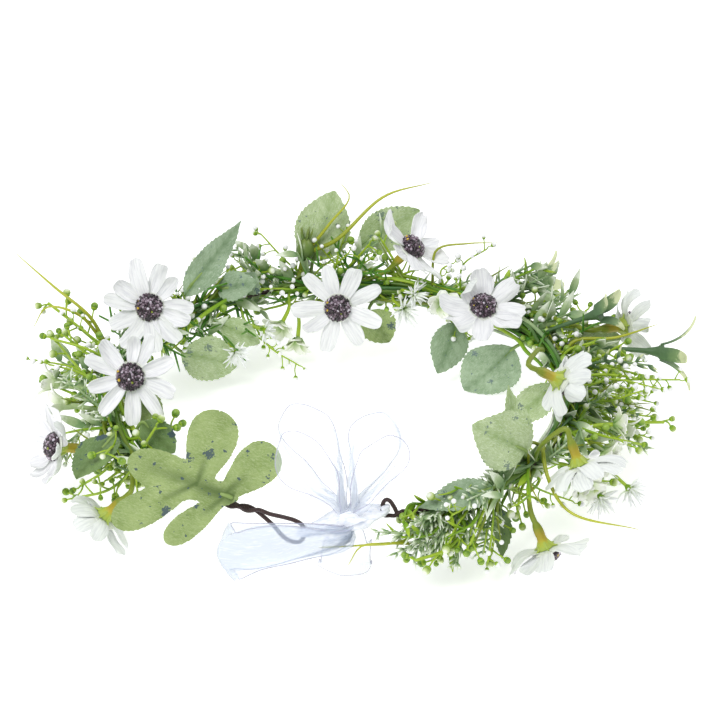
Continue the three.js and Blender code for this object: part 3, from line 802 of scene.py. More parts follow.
@dataclass(frozen=True)
class WireEye:
    """A loop twisted at one end of the wire. Its height is that of the loop below the wire."""

    start_angle: float
    way: int
    length: float
    height: float
    strand_radius: float = 0.9

    def at(self, share: float, up: float, out: float = 0.0) -> Array:
        """A point of the loop by shares of its length and height, and its distance out of its plane."""
        start = around(self.start_angle)
        turn = math.radians(self.start_angle)
        along = np.array([-math.sin(turn), math.cos(turn), 0]) * self.way
        point = start + along * share * self.length + out * np.array([math.cos(turn), math.sin(turn), 0])
        return point + np.array([0, 0, up * self.height])

    @property
    def end(self) -> Array:
        """Where the ribbon is tied."""
        return self.at(1, -0.4)

    def line(self) -> Array:
        """One strand out round the loop and back, twisted about itself where it closes."""
        crossing = 0.28
        shares = np.linspace(-0.3, crossing, 13)
        reach = 1.05 * self.strand_radius

        def twist(share: float, phase: float) -> Array:
            """A point of one strand of the twist."""
            turn = phase + 2.2 * math.pi * (share + 0.3) / (crossing + 0.3)
            bend = -0.02 * share
            return self.at(share, bend, reach * math.cos(turn)) + np.array([0, 0, reach * math.sin(turn)])

        out = [twist(s, 0.2 * math.pi) for s in shares]
        back = [twist(s, 1.2 * math.pi) for s in shares[::-1]]
        loop = [self.at(0.46, 0.02, 0.4), self.at(0.68, 0), self.at(0.86, -0.03), self.at(0.96, -0.14),
                self.at(1, -0.4), self.at(0.98, -0.72), self.at(0.92, -0.93), self.at(0.82, -1.0),
                self.at(0.68, -0.9), self.at(0.48, -0.46, -0.4)]
        return smooth_path([*out, *loop, *back], 150)


@dataclass
class WireRing:
    """The paper-wrapped wire: two halves that meet at the hinge, each ending in its eye."""

    left: WireEye = field(default_factory=lambda: WireEye(246, 1, 29, 11))
    right: WireEye = field(default_factory=lambda: WireEye(-74, -1, 10, -8))

    def build(self) -> None:
        """Makes both halves."""
        ends = ((Half.LEFT, self.left, HINGE_ANGLE + HINGE_GAP / 2, self.left.start_angle + 2, "wire_left"),
                (Half.RIGHT, self.right, HINGE_ANGLE - HINGE_GAP / 2, self.right.start_angle - 2, "wire_right"))
        for half, eye, hinge, last, node in ends:
            draft = MeshDraft()
            angles = np.linspace(hinge, last, 120)
            draft.add_tube(np.array([around(a) for a in angles]), WIRE_RADIUS, sides=12)
            draft.add_tube(eye.line(), eye.strand_radius, sides=12, mark=3)
            settle(draft.build("paper_wrapped_" + node, [WRAP]), half.value, [node])


@dataclass
class TapeWrap:
    """A run of floral tape round the wire and the stems bound to it, wound on a slant."""

    name: str
    angle: float
    radius: float = 4.35
    length: float = 9.0
    turns: float = 3.2

    def build(self, rng: np.random.Generator) -> None:
        """Makes the sleeve and the raised edge of the tape wound over it."""
        turn = math.radians(self.angle)
        axis = np.array([-math.sin(turn), math.cos(turn), 0])
        place = facing(around(self.angle), (0, 0, 1), axis)
        draft = MeshDraft()
        rows, columns = 30, 36
        shape = []
        for i in range(rows):
            along = (i / (rows - 1) - 0.5) * self.length
            end = 1 - 0.16 * abs(2 * i / (rows - 1) - 1) ** 6
            row = []
            for k in range(columns):
                a = 2 * math.pi * k / columns
                step = (a / (2 * math.pi) + along / self.length * self.turns) % 1.0
                lump = 0.14 * math.sin(3 * a + self.angle) + 0.1 * math.sin(5 * a - 1)
                radius = self.radius * end + lump + 0.34 * step
                row.append((radius * math.cos(a), radius * math.sin(a), along))
            shape.append(row)
        grid = np.array(shape)
        points = np.concatenate([grid.reshape(-1, 3), grid[::-1].reshape(-1, 3) * (0.72, 0.72, 0.985)])
        total = 2 * rows
        faces = [
            (i * columns + k, i * columns + (k + 1) % columns,
             ((i + 1) % total) * columns + (k + 1) % columns, ((i + 1) % total) * columns + k)
            for i in range(total)
            for k in range(columns)
        ]
        draft.add(moved(place, points), faces, 0, 0.5, points)
        settle(draft.build("waxed_" + self.name, [TAPE], 35), half_at(self.angle).value, [self.name])


# ---------------------------------------------------------------- daisies


class TipCut(Enum):
    """How the cloth of a petal is cut at its tip."""

    ROUND = 0.4
    JAGGED = 1.0


@dataclass
class DaisyFlower:
    """A daisy: two layers of cloth petals, a beaded centre, and the stem with its calyx and socket."""

    name: str
    radius: float
    cup: float
    petals: int
    binding: Binding
    via: list[tuple[float, float, float]] = field(default_factory=list)
    petal_width: float = 7.9
    tip: TipCut = TipCut.ROUND
    folded: dict[int, float] = field(default_factory=dict)
    half: Half = Half.RIGHT
    place: Array = field(default_factory=lambda: np.eye(4))

    hub_radius: float = 1.8
    notch_radius: float = 7.1
    centre_radius: float = 6.2
    centre_height: float = 4.5
    seat: float = 1.1

    def put_on_joint(self, joint: dict) -> None:
        """Takes the head's place, way and carrying half from its joint."""
        normal = Vector(joint["axis"]).normalized()
        turn = Vector((0, 0, 1)).rotation_difference(normal).to_matrix()
        self.place = np.eye(4)
        self.place[:3, :3] = np.array(turn)
        self.place[:3, 3] = np.array(joint["pos_m"]) / MM
        self.half = Half(joint["parent"])

    def petal(self, draft: MeshDraft, turn: float, layer: int, fold: float, rng: np.random.Generator) -> None:
        """Adds one petal.

        Args:
            draft: Where it goes.
            turn: Its angle round the head, in radians.
            layer: 0 for the lower layer, 1 for the upper.
            fold: How far it is folded over, in radians at its tip.
            rng: The source of its unevenness.
        """
        rows, columns = 20, 11
        u = np.linspace(0, 1, rows)
        v = np.linspace(-1, 1, columns)
        length = (self.radius - self.hub_radius) * rng.uniform(0.88, 1.04)
        share = np.clip((u * length + self.hub_radius - self.notch_radius) / (length - 5), 0, 1)
        lift = math.atan(self.cup / (self.radius - self.notch_radius))
        curl = rng.uniform(-0.6, 0.95) if fold == 0 else 0.0
        phi = 1.35 * lift * share ** 0.5 + curl * np.clip((u - 0.5) / 0.5, 0, 1) ** 1.4
        phi += fold * np.clip((u - 0.25) / 0.6, 0, 1) ** 1.1 + 0.26 * rng.uniform(-1, 1) * np.sin(2 * math.pi * u)
        step = length / (rows - 1)
        reach = self.hub_radius + np.concatenate([[0], np.cumsum(np.cos(phi[1:]) * step)])
        rise = np.concatenate([[0], np.cumsum(np.sin(phi[1:]) * step)])
        rise = rise + (0.75 if layer else -0.05) + rng.uniform(-0.12, 0.25)
        grow = np.clip(u / 0.6, 0, 1)
        width = self.petal_width * rng.uniform(0.84, 1.1) / 2
        half = width * np.where(u < 0.6, 0.32 + 0.68 * np.sin(math.pi / 2 * grow) ** 1.15,
                                1 - 0.17 * ((u - 0.6) / 0.4) ** 2)
        pinch = rng.uniform(-0.35, 0.7)
        ridges = rng.choice([2.0, 2.5, 3.0])
        crease = -0.19 * np.cos(math.pi * ridges * v) * (0.5 + 0.5 * rng.random())
        jag = self.tip.value * np.interp(v, np.linspace(-1, 1, 6), rng.uniform(-1.1, 0.5, 6))
        sway, twist = rng.uniform(-2.2, 2.2), rng.uniform(-1.5, 1.5)
        uu, vv = u[:, None], v[None]
        side = half[:, None] * vv + sway * uu ** 2
        off = (pinch * half[:, None] * vv ** 2 + crease[None] * np.sin(math.pi * np.clip(uu * 1.02, 0, 1)) ** 0.6
               + twist * vv * uu ** 2 + 0.22 * np.sin(9 * uu + 4 * vv + turn * 5) * uu)
        tip_cut = (-0.12 * length * np.abs(vv) ** 4.2 + jag[None]) * np.clip((uu - 0.55) / 0.45, 0, 1) ** 2
        cos, sin = np.cos(phi)[:, None], np.sin(phi)[:, None]
        out = reach[:, None] + tip_cut * cos - sin * off
        up = rise[:, None] + tip_cut * sin + cos * off
        c, s = math.cos(turn), math.sin(turn)
        grid = np.stack([out * c - side * s, out * s + side * c, up + 0 * side], axis=-1)
        lay = np.stack(np.broadcast_arrays(uu * length, half[:, None] * vv, rng.uniform(0, 90)), axis=-1)
        draft.add_plate(moved(self.place, grid), 0.32, (0, 1), np.broadcast_to(uu, (rows, columns)), lay)

    def build_petals(self, rng: np.random.Generator) -> None:
        """Makes the two layers of petals round a small hub."""
        draft = MeshDraft()
        count = self.petals
        start = rng.uniform(0, 2 * math.pi)
        for i in range(count):
            turn = start + 2 * math.pi * (i + rng.uniform(-0.2, 0.2)) / count
            self.petal(draft, turn, i % 2, self.folded.get(i, 0.0), rng)
        hub = [(0.0, -0.35), (4.0, -0.3), (6.7, 0.1), (6.5, 0.75), (0.0, 1.0)]
        draft.add_turned(hub, self.place, 0, [0.0] * 5, 24)
        settle(draft.build(f"cloth_petals_{self.name}", [PETAL, PETAL_BACK]), "head_" + self.name,
               [f"daisy_{self.name}_petals"])

    def build_centre(self, rng: np.random.Generator) -> None:
        """Makes the dome and the beads glued over it."""
        draft = MeshDraft()
        r, h = self.centre_radius - 0.45, self.centre_height - 0.5
        dome = [(0.0, 0.2), (r * 0.9, 0.25), (r, self.seat)]
        dome += [(r * math.cos(a), self.seat + 0.6 + (h - 0.6) * math.sin(a)) for a in np.linspace(0, 1.5, 8)]
        draft.add_turned(dome, self.place, 0, [0.5] * len(dome), 28)
        draft.add_turned([(0.9, 0.3), (0.9, -5.4), (0.6, -5.8)], self.place, 0, [0.5] * 3, 12)
        count = 190
        golden = math.pi * (3 - math.sqrt(5))
        centres = []
        for i in range(count):
            high = 1 - (i + 0.5) / count * 0.97
            spread = math.sqrt(max(1 - high ** 1.35, 0.0)) * (1 + rng.uniform(-0.03, 0.05))
            turn = i * golden + rng.uniform(-0.12, 0.12)
            lift = self.seat + 0.25 + (h - 0.1) * high ** 0.8 + rng.uniform(-0.15, 0.3)
            centres.append(((r + 0.1) * spread * math.cos(turn), (r + 0.1) * spread * math.sin(turn), lift))
        draft.add_balls(moved(self.place, np.array(centres)), rng.uniform(0.42, 0.74, count), 1,
                        rng.uniform(0, 1, count), 8, 5)
        settle(draft.build(f"beaded_centre_{self.name}", [BEAD_GROUND, BEADS]), "head_" + self.name,
               [f"daisy_{self.name}_centre"])

    def build_stem(self, rng: np.random.Generator) -> None:
        """Makes the calyx, the yellow socket and the stem bound to the wire."""
        draft = MeshDraft()
        cup = [(1.4, -5.6), (1.4, -0.5), (3.3, -0.42), (3.7, -0.75), (3.5, -1.5), (2.75, -3.0), (2.15, -4.6),
               (2.0, -6.0), (2.15, -7.6), (2.1, -9.4), (1.85, -10.8), (1.45, -12.0), (1.1, -12.8)]
        tones = [0.0, 0.0, 0.0, 0.02, 0.08, 0.2, 0.34, 0.46, 0.56, 0.66, 0.8, 0.92, 1.0]
        draft.add_turned(cup, self.place, 0, tones, 24, 6, 0.045)
        for k in range(6):
            turn = 2 * math.pi * (k + 0.3 * rng.random()) / 6
            c, s = math.cos(turn), math.sin(turn)
            line = smooth_path([(2.2 * c, 2.2 * s, -3.6), (3.8 * c, 3.8 * s, -1.2), (5.6 * c, 5.6 * s, -0.75)], 7)
            draft.add_tube(moved(self.place, line), [0.7, 0.75, 0.25], 0, (0.12, 0.02), 7)
        normal = self.place[:3, 2]
        head = self.place[:3, 3]
        route = [*self.binding.run(STEM_RADIUS), *(around(*p) for p in self.via),
                 head - 17 * normal, head - 11.5 * normal]
        draft.add_tube(smooth_path(route, 48), [1.0, 1.0, 1.0, 1.05, 1.25], 1, (0.0, 1.0), 12, rng.uniform(0, 50))
        settle(draft.build(f"moulded_stem_{self.name}", [CALYX, STEM]), self.half.value,
               [f"daisy_{self.name}_stem"])

    def build(self, rng: np.random.Generator) -> None:
        """Makes the whole flower."""
        self.build_petals(rng)
        self.build_centre(rng)
        self.build_stem(rng)


DAISIES = [
    DaisyFlower("back_left", 22, 3, 11, Binding(140, 60, 1), [], 7.3),
    DaisyFlower("left", 22, 3, 10, Binding(168, 90, 1), [(180, -4, 9)], 6.9),
    DaisyFlower("far_left", 20, 6, 10, Binding(180, 0, 1), [], 8.4),
    DaisyFlower("front_left", 18, 5, 9, Binding(203, 300, 1), [], 8.2),
    DaisyFlower("back", 22, 3, 9, Binding(73, 270, 1), [], 7.5),
    DaisyFlower("back_high", 21, 5, 8, Binding(88, 60, -1), [], 9.6, TipCut.JAGGED),
    DaisyFlower("back_right", 22, 4, 8, Binding(61, 210, -1), [], 10.6, TipCut.JAGGED, {3: 2.3}),
    DaisyFlower("right", 18, 6, 9, Binding(29, 120, -1), [(15, -7, 9), (1, -12, 22), (-9, -14, 30)], 8.8),
    DaisyFlower("right_low", 20, 5, 10, Binding(-31, 60, -1), [(-37, 7, 14)], 8.6, TipCut.JAGGED),
    DaisyFlower("front_right", 20, 4, 10, Binding(-31, 300, -1), [(-41, 6, -3)], 9.0, TipCut.JAGGED),
    DaisyFlower("far_right", 20, 6, 10, Binding(48, 0, -1), [(36, 8, 6)], 7.4),
]


# ---------------------------------------------------------------- leaves


class Outline(Enum):
    """The shapes that leaf cloth is cut to."""

    OVAL = "oval"
    LANCE = "lance"

    def half_width(self, share: Array) -> Array:
        """Half the width at shares of the length, as a share of the full width."""
        if self is Outline.OVAL:
            return 0.5 * np.sin(math.pi * np.clip(share, 0, 1) ** 0.85) ** 0.75
        return 0.5 * np.sin(math.pi * np.clip(share, 0, 1) ** 0.7)


@dataclass
class ClothLeaf:
    """One cut and pressed cloth leaf with a moulded rib glued along its back."""

    base: tuple[float, float, float]
    axis: tuple[float, float, float]
    normal: tuple[float, float, float]
    length: float
    width: float
    outline: Outline = Outline.OVAL
    curl: float = 2.0
    tooth_mm: float = 2.3

    def place(self) -> Array:
        """The matrix that its blade is put through."""
        return facing(around(*self.base), self.axis, self.normal)

    def draw(self, draft: MeshDraft, rng: np.random.Generator, cloth: int = 0, rib: int = 2) -> None:
        """Adds the blade with its cut teeth, and its rib and side veins."""
        rows, columns = 72, 17
        t = np.linspace(0.004, 0.998, rows)
        v = np.linspace(-1, 1, columns)
        half = np.maximum(self.outline.half_width(t) * self.width, 0.12)
        teeth = 0.75 * ((t * self.length / self.tooth_mm) % 1.0) ** 1.4 * np.clip(half / 3, 0, 1)
        phase = rng.uniform(0, 6)
        x = t[:, None] * self.length
        y = v[None] * (half[:, None] + (teeth[:, None] - 0.3) * (np.abs(v[None]) > 0.9))
        fold = rng.uniform(0.05, 0.2)
        z = (-self.curl * t[:, None] ** 2 + fold * np.abs(y) + 0.35
             + 0.45 * np.sin(0.34 * x + phase) * np.abs(v[None]) ** 1.5
             + 0.5 * np.sin(0.16 * x + 0.25 * y + phase))
        pitch = 5.0
        slant = (x - 0.9 * np.abs(y)) / pitch
        vein = np.exp(-(((slant + 0.5) % 1.0 - 0.5) * pitch / 0.7) ** 2) * np.clip(1 - np.abs(v[None]) ** 2, 0, 1)
        z = z - 0.12 * vein
        # Painted shade: darker along the midrib, where the rib glued behind shows through, and in the pressed grooves
        # of the side veins.
        shade = np.clip(0.8 * np.exp(-(y / 1.5) ** 2) * (1 - 0.6 * t[:, None]) + 0.28 * vein, 0, 1)
        mark = rng.uniform(0, 400)
        grid = np.stack([x + 0 * y, y, z], axis=-1)
        lay = np.stack(np.broadcast_arrays(x + mark, y, mark), axis=-1)
        place = self.place()
        draft.add_plate(moved(place, grid), 0.3, (cloth, cloth), shade, lay)
        middle = grid[:: rows // 12, columns // 2] + np.array([0, 0, -0.42])
        draft.add_tube(moved(place, middle[:-2]), [0.75, 0.5, 0.28], rib, (0, 1), 7)


@dataclass
class LeafSpray:
    """A stalk bound to the wire and the cloth leaves that it carries."""

    name: str
    binding: Binding
    leaves: list[ClothLeaf]
    cloth: Finish = SAGE_LEAF
    via: list[tuple[float, float, float]] = field(default_factory=list)
    in_cad: bool = True

    def build(self, rng: np.random.Generator) -> None:
        """Makes the stalk and its leaves as one piece."""
        draft = MeshDraft()
        first = self.leaves[0]
        base = around(*first.base)
        inside = base + unit(first.axis) * 0.3 * first.length - unit(first.normal) * 0.35
        route = [*self.binding.run(TWIG_RADIUS), *(around(*p) for p in self.via), base, inside]
        draft.add_tube(smooth_path(route, 26), [0.85, 0.8, 0.8, 0.6], 2, (0, 0.8), 9)
        for leaf in self.leaves:
            leaf.draw(draft, rng)
        settle(draft.build("cloth_" + self.name, [self.cloth, self.cloth, LEAF_RIB], 60),
               half_at(self.binding.site).value, [self.name] if self.in_cad else [])


@dataclass(frozen=True)
class Lobe:
    """A lobe of the big leaf: where it leaves the midrib, its turn in degrees, its reach and its width."""

    at: float
    turn: float
    reach: float
    width: float


@dataclass
class LobedLeaf:
    """The big speckled leaf, cut in one piece with five lobes, with a rib along each."""

    name: str
    binding: Binding
    base: tuple[float, float, float]
    axis: tuple[float, float, float]
    normal: tuple[float, float, float]
    length: float
    lobes: list[Lobe]
    cell: float = 0.75

    def edge(self, x: Array, y: Array) -> Array:
        """How far inside the cut edge points are, in millimetres; below 0 outside."""
        total = np.zeros_like(x)
        for lobe in self.lobes:
            turn = math.radians(lobe.turn)
            dx, dy = x - lobe.at * self.length, y
            along = (dx * math.cos(turn) + dy * math.sin(turn)) / lobe.reach
            across = np.abs(-dx * math.sin(turn) + dy * math.cos(turn))
            t = np.clip(along, 0.02, 1.0)
            widen = 0.42 + 0.58 * np.sin(math.pi / 2 * np.clip(t / 0.66, 0, 1)) ** 1.5
            spatula = 0.5 * lobe.width * widen * np.sqrt(1 - np.clip((t - 0.66) / 0.34, 0, 1) ** 2.4)
            inside = spatula - across - np.abs(along - t) * lobe.reach
            total += np.exp(np.clip(inside, -12, 12) * 1.2)
        inside = np.log(total) / 1.2
        return inside - 0.16 - 0.22 * np.sin(2.9 * x + 1.2 * y) * np.sin(2.6 * y - 1.1 * x)

    def shade(self, x: Array, y: Array) -> Array:
        """How strongly the ribs on the back show through, as painted shade that darkens the cloth."""
        shown = np.zeros_like(x)
        for lobe in self.lobes:
            turn = math.radians(lobe.turn)
            dx, dy = x - lobe.at * self.length, y
            along = (dx * math.cos(turn) + dy * math.sin(turn)) / lobe.reach
            across = -dx * math.sin(turn) + dy * math.cos(turn)
            reach = 0.95 if lobe.turn == 0 else 0.45
            spread = 2.9 if lobe.turn == 0 else 1.5
            fade = np.clip((reach - along) / reach, 0, 1) * (along > -0.02)
            shown = np.maximum(shown, np.exp(-(across / spread) ** 2) * fade ** 0.7)
        return shown

    def rise(self, x: Array, y: Array) -> Array:
        """The gentle bend of the cloth."""
        bend = -2.0 * (x / self.length) ** 2 - 0.0022 * y ** 2 + 0.6 * np.sin(0.13 * x + 0.1 * y)
        return bend - 0.35 * self.shade(x, y)

    def build(self, rng: np.random.Generator) -> None:
        """Cuts the blade from a fine net whose edge is drawn onto the cut line, and adds stalk and ribs."""
        low, high = np.array([-16.0, -38.0]), np.array([56.0, 40.0])
        counts = ((high - low) / self.cell).astype(int)
        xs = low[0] + self.cell * np.arange(counts[0])
        ys = low[1] + self.cell * np.arange(counts[1])
        x, y = np.meshgrid(xs, ys, indexing="ij")
        middle = self.edge(x[:-1, :-1] + self.cell / 2, y[:-1, :-1] + self.cell / 2) > 0
        cells = [(i, k) for i, k in zip(*np.nonzero(middle))]
        number = {}
        for i, k in cells:
            for corner in ((i, k), (i + 1, k), (i + 1, k + 1), (i, k + 1)):
                number.setdefault(corner, len(number))
        px = np.array([x[c] for c in number])
        py = np.array([y[c] for c in number])
        uses = np.zeros(len(number), int)
        quads = []
        for i, k in cells:
            quad = [number[c] for c in ((i, k), (i + 1, k), (i + 1, k + 1), (i, k + 1))]
            quads.append(tuple(quad))
            uses[quad] += 1
        border = uses < 4
        step = 0.05
        for _ in range(5):
            here = self.edge(px, py)
            gx = (self.edge(px + step, py) - here) / step
            gy = (self.edge(px, py + step) - here) / step
            size = np.maximum(gx ** 2 + gy ** 2, 0.2)
            px = np.where(border, px - 0.8 * here * gx / size, px)
            py = np.where(border, py - 0.8 * here * gy / size, py)
        place = facing(around(*self.base), self.axis, self.normal)
        height = self.rise(px, py) + 0.35
        thick = 0.16
        total = len(px)
        top = np.column_stack([px, py, height + thick])
        under = np.column_stack([px, py, height - thick])
        faces = quads + [tuple(total + i for i in reversed(quad)) for quad in quads]
        edges: dict[tuple[int, int], int] = {}
        for quad in quads:
            for a, b in zip(quad, quad[1:] + quad[:1]):
                edges[(a, b)] = edges.get((a, b), 0) + 1
        faces += [(b, a, a + total, b + total) for a, b in edges if (b, a) not in edges]
        draft = MeshDraft()
        lay = np.column_stack([px, py, np.full(total, 7.0)])
        # The tone here is painted shade along the ribs.
        draft.add(moved(place, np.vstack([top, under])), faces, 0, np.tile(self.shade(px, py), 2), np.tile(lay, (2, 1)))
        for lobe in self.lobes:
            turn = math.radians(lobe.turn)
            reach = (0.85 if lobe.turn == 0 else 0.42) * lobe.reach
            run = np.linspace(0, reach, 14)
            rx, ry = lobe.at * self.length + run * math.cos(turn), run * math.sin(turn)
            line = np.column_stack([rx, ry, self.rise(rx, ry) - 0.25])
            draft.add_tube(moved(place, line), [0.8, 0.55, 0.3], 1, (0.1, 1), 8)
        base = around(*self.base)
        route = [*self.binding.run(TWIG_RADIUS), base, base + unit(self.axis) * 5]
        draft.add_tube(smooth_path(route, 24), 0.85, 1, (0.2, 0.9), 9)
        settle(draft.build("cloth_" + self.name, [SAGE_LEAF, LEAF_RIB], 60), half_at(self.binding.site).value,
               [self.name])


LANCE = Outline.LANCE
LEAVES = [
    LeafSpray("leaf_left_low", Binding(192, 330, 1),
              [ClothLeaf((206, 7, 8), (-0.46, -0.88, -0.13), (-0.35, -0.5, 0.8), 31, 19)], DARK_LEAF),
    LeafSpray("leaf_left_hanging", Binding(149, 250, -1),
              [ClothLeaf((140, -5, -13), (0.93, 0.12, -0.34), (0.1, -0.97, 0.2), 28, 22)], PALE_LEAF),
    LeafSpray("leaf_back_left", Binding(127, 80, 1),
              [ClothLeaf((134, 3, 9), (0.6, 0.55, 0.58), (0.4, -0.85, 0.35), 44, 15, LANCE)], SILVER_LEAF),
    LeafSpray("leaf_back_middle", Binding(103, 90, -1),
              [ClothLeaf((97, 8, 9), (0.3, 0.3, 0.9), (0, -0.95, 0.3), 34, 26, curl=3)], PALE_LEAF),
    LeafSpray("leaf_back_right", Binding(93, 0, -1),
              [ClothLeaf((86, 20, 10), (0.86, 0.2, 0.48), (0, -0.9, 0.45), 33, 20)], PALE_LEAF),
    LeafSpray("leaf_right_hanging", Binding(27, 270, 1),
              [ClothLeaf((36, -3, -9), (-0.66, 0.05, -0.75), (0.05, -1, 0), 33, 28)], SILVER_LEAF),
    LeafSpray("leaf_pair_right", Binding(-31, 140, -1),
              [ClothLeaf((-41, 4, 13), (-0.66, -0.42, 0.62), (0.58, -0.8, 0.16), 33, 26),
               ClothLeaf((-41.5, 3, 11), (-0.25, 0.5, 0.85), (0.58, -0.8, 0.3), 30, 14, LANCE, -2)],
              PALE_LEAF, [(-38.5, -1, 7)]),
    LeafSpray("leaf_front_right", Binding(-46, 30, -1),
              [ClothLeaf((-53, 6, 5), (-0.91, -0.4, -0.03), (-0.1, -0.6, 0.8), 34, 14, LANCE, 1)], SILVER_LEAF),
]
EXTRA_LEAVES = [
    LeafSpray("leaf_folded_left", Binding(200, 150, 1),
              [ClothLeaf((207, -6, 12), (0.62, -0.25, -0.6), (-0.25, -0.9, 0.4), 19, 16)], DARK_LEAF, in_cad=False),
    LeafSpray("leaf_under_back", Binding(84, 250, -1),
              [ClothLeaf((82, -8, -8), (0.45, -0.05, -0.8), (0.1, -0.95, 0.2), 20, 17)], SAGE_LEAF, in_cad=False),
    LeafSpray("leaf_behind_right", Binding(30, 350, -1),
              [ClothLeaf((22, 10, 0), (0.85, 0.1, 0.15), (0.1, -0.85, 0.5), 25, 17)], PALE_LEAF, in_cad=False),
    LeafSpray("leaf_drooping_front", Binding(-44, 280, -1),
              [ClothLeaf((-50, 5, -8), (0.1, -0.3, -0.9), (0.6, -0.7, 0.2), 22, 11, LANCE)], DARK_LEAF,
              in_cad=False),
    LeafSpray("leaf_round_back_left", Binding(124, 60, -1),
              [ClothLeaf((117, -2, 4), (0.3, -0.35, 0.8), (-0.2, -0.9, 0.3), 13, 13)], SILVER_LEAF, in_cad=False),
    LeafSpray("leaf_grey_back_left", Binding(130, 330, -1),
              [ClothLeaf((124, 2, 6), (0.75, -0.3, 0.35), (-0.1, -0.7, 0.6), 21, 14)], SILVER_LEAF, in_cad=False),
    LeafSpray("leaf_pale_back_left", Binding(134, 300, -1),
              [ClothLeaf((126, -6, -7), (0.8, -0.25, -0.3), (0.1, -0.8, 0.5), 20, 13)], PALE_LEAF, in_cad=False),
    LeafSpray("leaf_green_left", Binding(186, 150, 1),
              [ClothLeaf((190, -8, 5), (0.5, -0.5, 0.2), (0.2, -0.7, 0.6), 20, 15)], SAGE_LEAF, in_cad=False),
    LeafSpray("leaf_behind_back_right", Binding(60, 200, -1),
              [ClothLeaf((56, -5, -8), (-0.3, -0.55, -0.65), (0.35, -0.75, 0.5), 25, 18)], SILVER_LEAF, in_cad=False),
    LeafSpray("leaf_pale_right", Binding(8, 170, -1),
              [ClothLeaf((4, -5, 1), (-0.62, -0.15, -0.5), (0.1, -0.9, 0.4), 27, 15)], PALE_LEAF, in_cad=False),
]
BIG_LEAF = LobedLeaf("leaf_lobed", Binding(236, 30, 1), (246, 8, 9), (-0.93, 0.17, 0.3), (-0.15, -0.85, 0.5), 46,
                     [Lobe(0, 0, 46, 17), Lobe(0.08, -118, 29, 18), Lobe(0.34, -88, 32, 21), Lobe(0.06, 58, 32, 11.5),
                      Lobe(0.36, 46, 38, 15)])


# ---------------------------------------------------------------- moulded sprigs


def sideways(tangent: Array, rng: np.random.Generator) -> Array:
    """A random direction across a tangent."""
    return unit(np.cross(tangent, rng.normal(size=3)))


class Sprig:
    """A moulded twig that grows along a path. Its draft's finishes are those that it names."""

    finishes: tuple[Finish, ...] = (LIME,)
    slot: Slot = Slot.BUD

    def grow(self, draft: MeshDraft, line: Array, rng: np.random.Generator) -> None:
        """Adds the twig along a line."""
        raise NotImplementedError


@dataclass
class BudTwig(Sprig):
    """A twig with round buds on short side twigs, each in a small cup."""

    finishes: tuple[Finish, ...] = (LIME, BUD, GREEN_BUD)
    radius: float = 0.72
    bud: tuple[float, float] = (1.1, 1.9)
    pitch: float = 5.2
    reach: tuple[float, float] = (5.0, 9.0)
    start: float = 0.45
    greens: float = 0.45
    tip_bud: bool = True

    def one_bud(self, draft: MeshDraft, start: Array, tip: Array, rng: np.random.Generator) -> None:
        """Adds a side twig, its cup and its bud."""
        way = unit(tip - start)
        bend = (start + tip) / 2 + sideways(way, rng) * 0.6
        draft.add_tube(smooth_path([start, bend, tip], 6), [0.62 * self.radius, 0.5 * self.radius], 0, (0.5, 1), 6)
        size = rng.uniform(*self.bud)
        kind = 2 if rng.random() < self.greens else 1
        place = facing(tip, sideways(way, rng), way)
        cup = [(0.35, -0.3), (0.75 * size, 0.15 * size), (0.92 * size, 0.7 * size), (0.8 * size, 0.72 * size)]
        draft.add_turned(cup, place, 0, [0.3, 0.5, 0.9, 0.9], 9)
        ball = [(size * math.sin(a), size * (1 - math.cos(a)) + 0.1) for a in np.linspace(0.35, math.pi, 8)]
        draft.add_turned(ball, place, kind, list(np.linspace(0, 1, 8)), 11)

    def grow(self, draft: MeshDraft, line: Array, rng: np.random.Generator) -> None:
        """Adds the main twig and its buds along the outer part."""
        length = path_length(line)
        draft.add_tube(line, [self.radius, self.radius, 0.75 * self.radius], 0, (0, 1), 8, rng.uniform(0, 60))
        tangents = np.gradient(line, axis=0)
        count = max(2, int(length * (1 - self.start) / self.pitch))
        for share in np.linspace(self.start, 0.97, count):
            i = int(share * (len(line) - 1))
            way = unit(0.55 * unit(tangents[i]) + sideways(tangents[i], rng))
            self.one_bud(draft, line[i], line[i] + way * rng.uniform(*self.reach), rng)
        if self.tip_bud:
            self.one_bud(draft, line[-1], line[-1] + unit(tangents[-1]) * 2.5, rng)


@dataclass
class PlacedBuds(BudTwig):
    """A bud twig whose buds hang where they are told: share along the twig, and reach."""

    buds: Sequence[tuple[float, tuple[float, float, float]]] = ()

    def grow(self, draft: MeshDraft, line: Array, rng: np.random.Generator) -> None:
        """Adds the main twig and the placed buds, each with a smaller neighbour."""
        draft.add_tube(line, [TWIG_RADIUS, TWIG_RADIUS, 0.65], 0, (0, 1), 10)
        for share, reach in self.buds:
            start = line[int(share * (len(line) - 1))]
            tip = start + np.array(reach) * 0.86
            self.one_bud(draft, start, tip, rng)
            middle = (start + tip) / 2
            self.one_bud(draft, middle, middle + unit(sideways(tip - start, rng) + 0.6 * unit(tip - start)) * 4.2, rng)


@dataclass
class PearlTwig(BudTwig):
    """A thin pale twig with tiny white beads."""

    finishes: tuple[Finish, ...] = (LIME, PEARL, PEARL)
    radius: float = 0.5
    bud: tuple[float, float] = (0.9, 1.45)
    pitch: float = 3.4
    reach: tuple[float, float] = (3.0, 6.0)


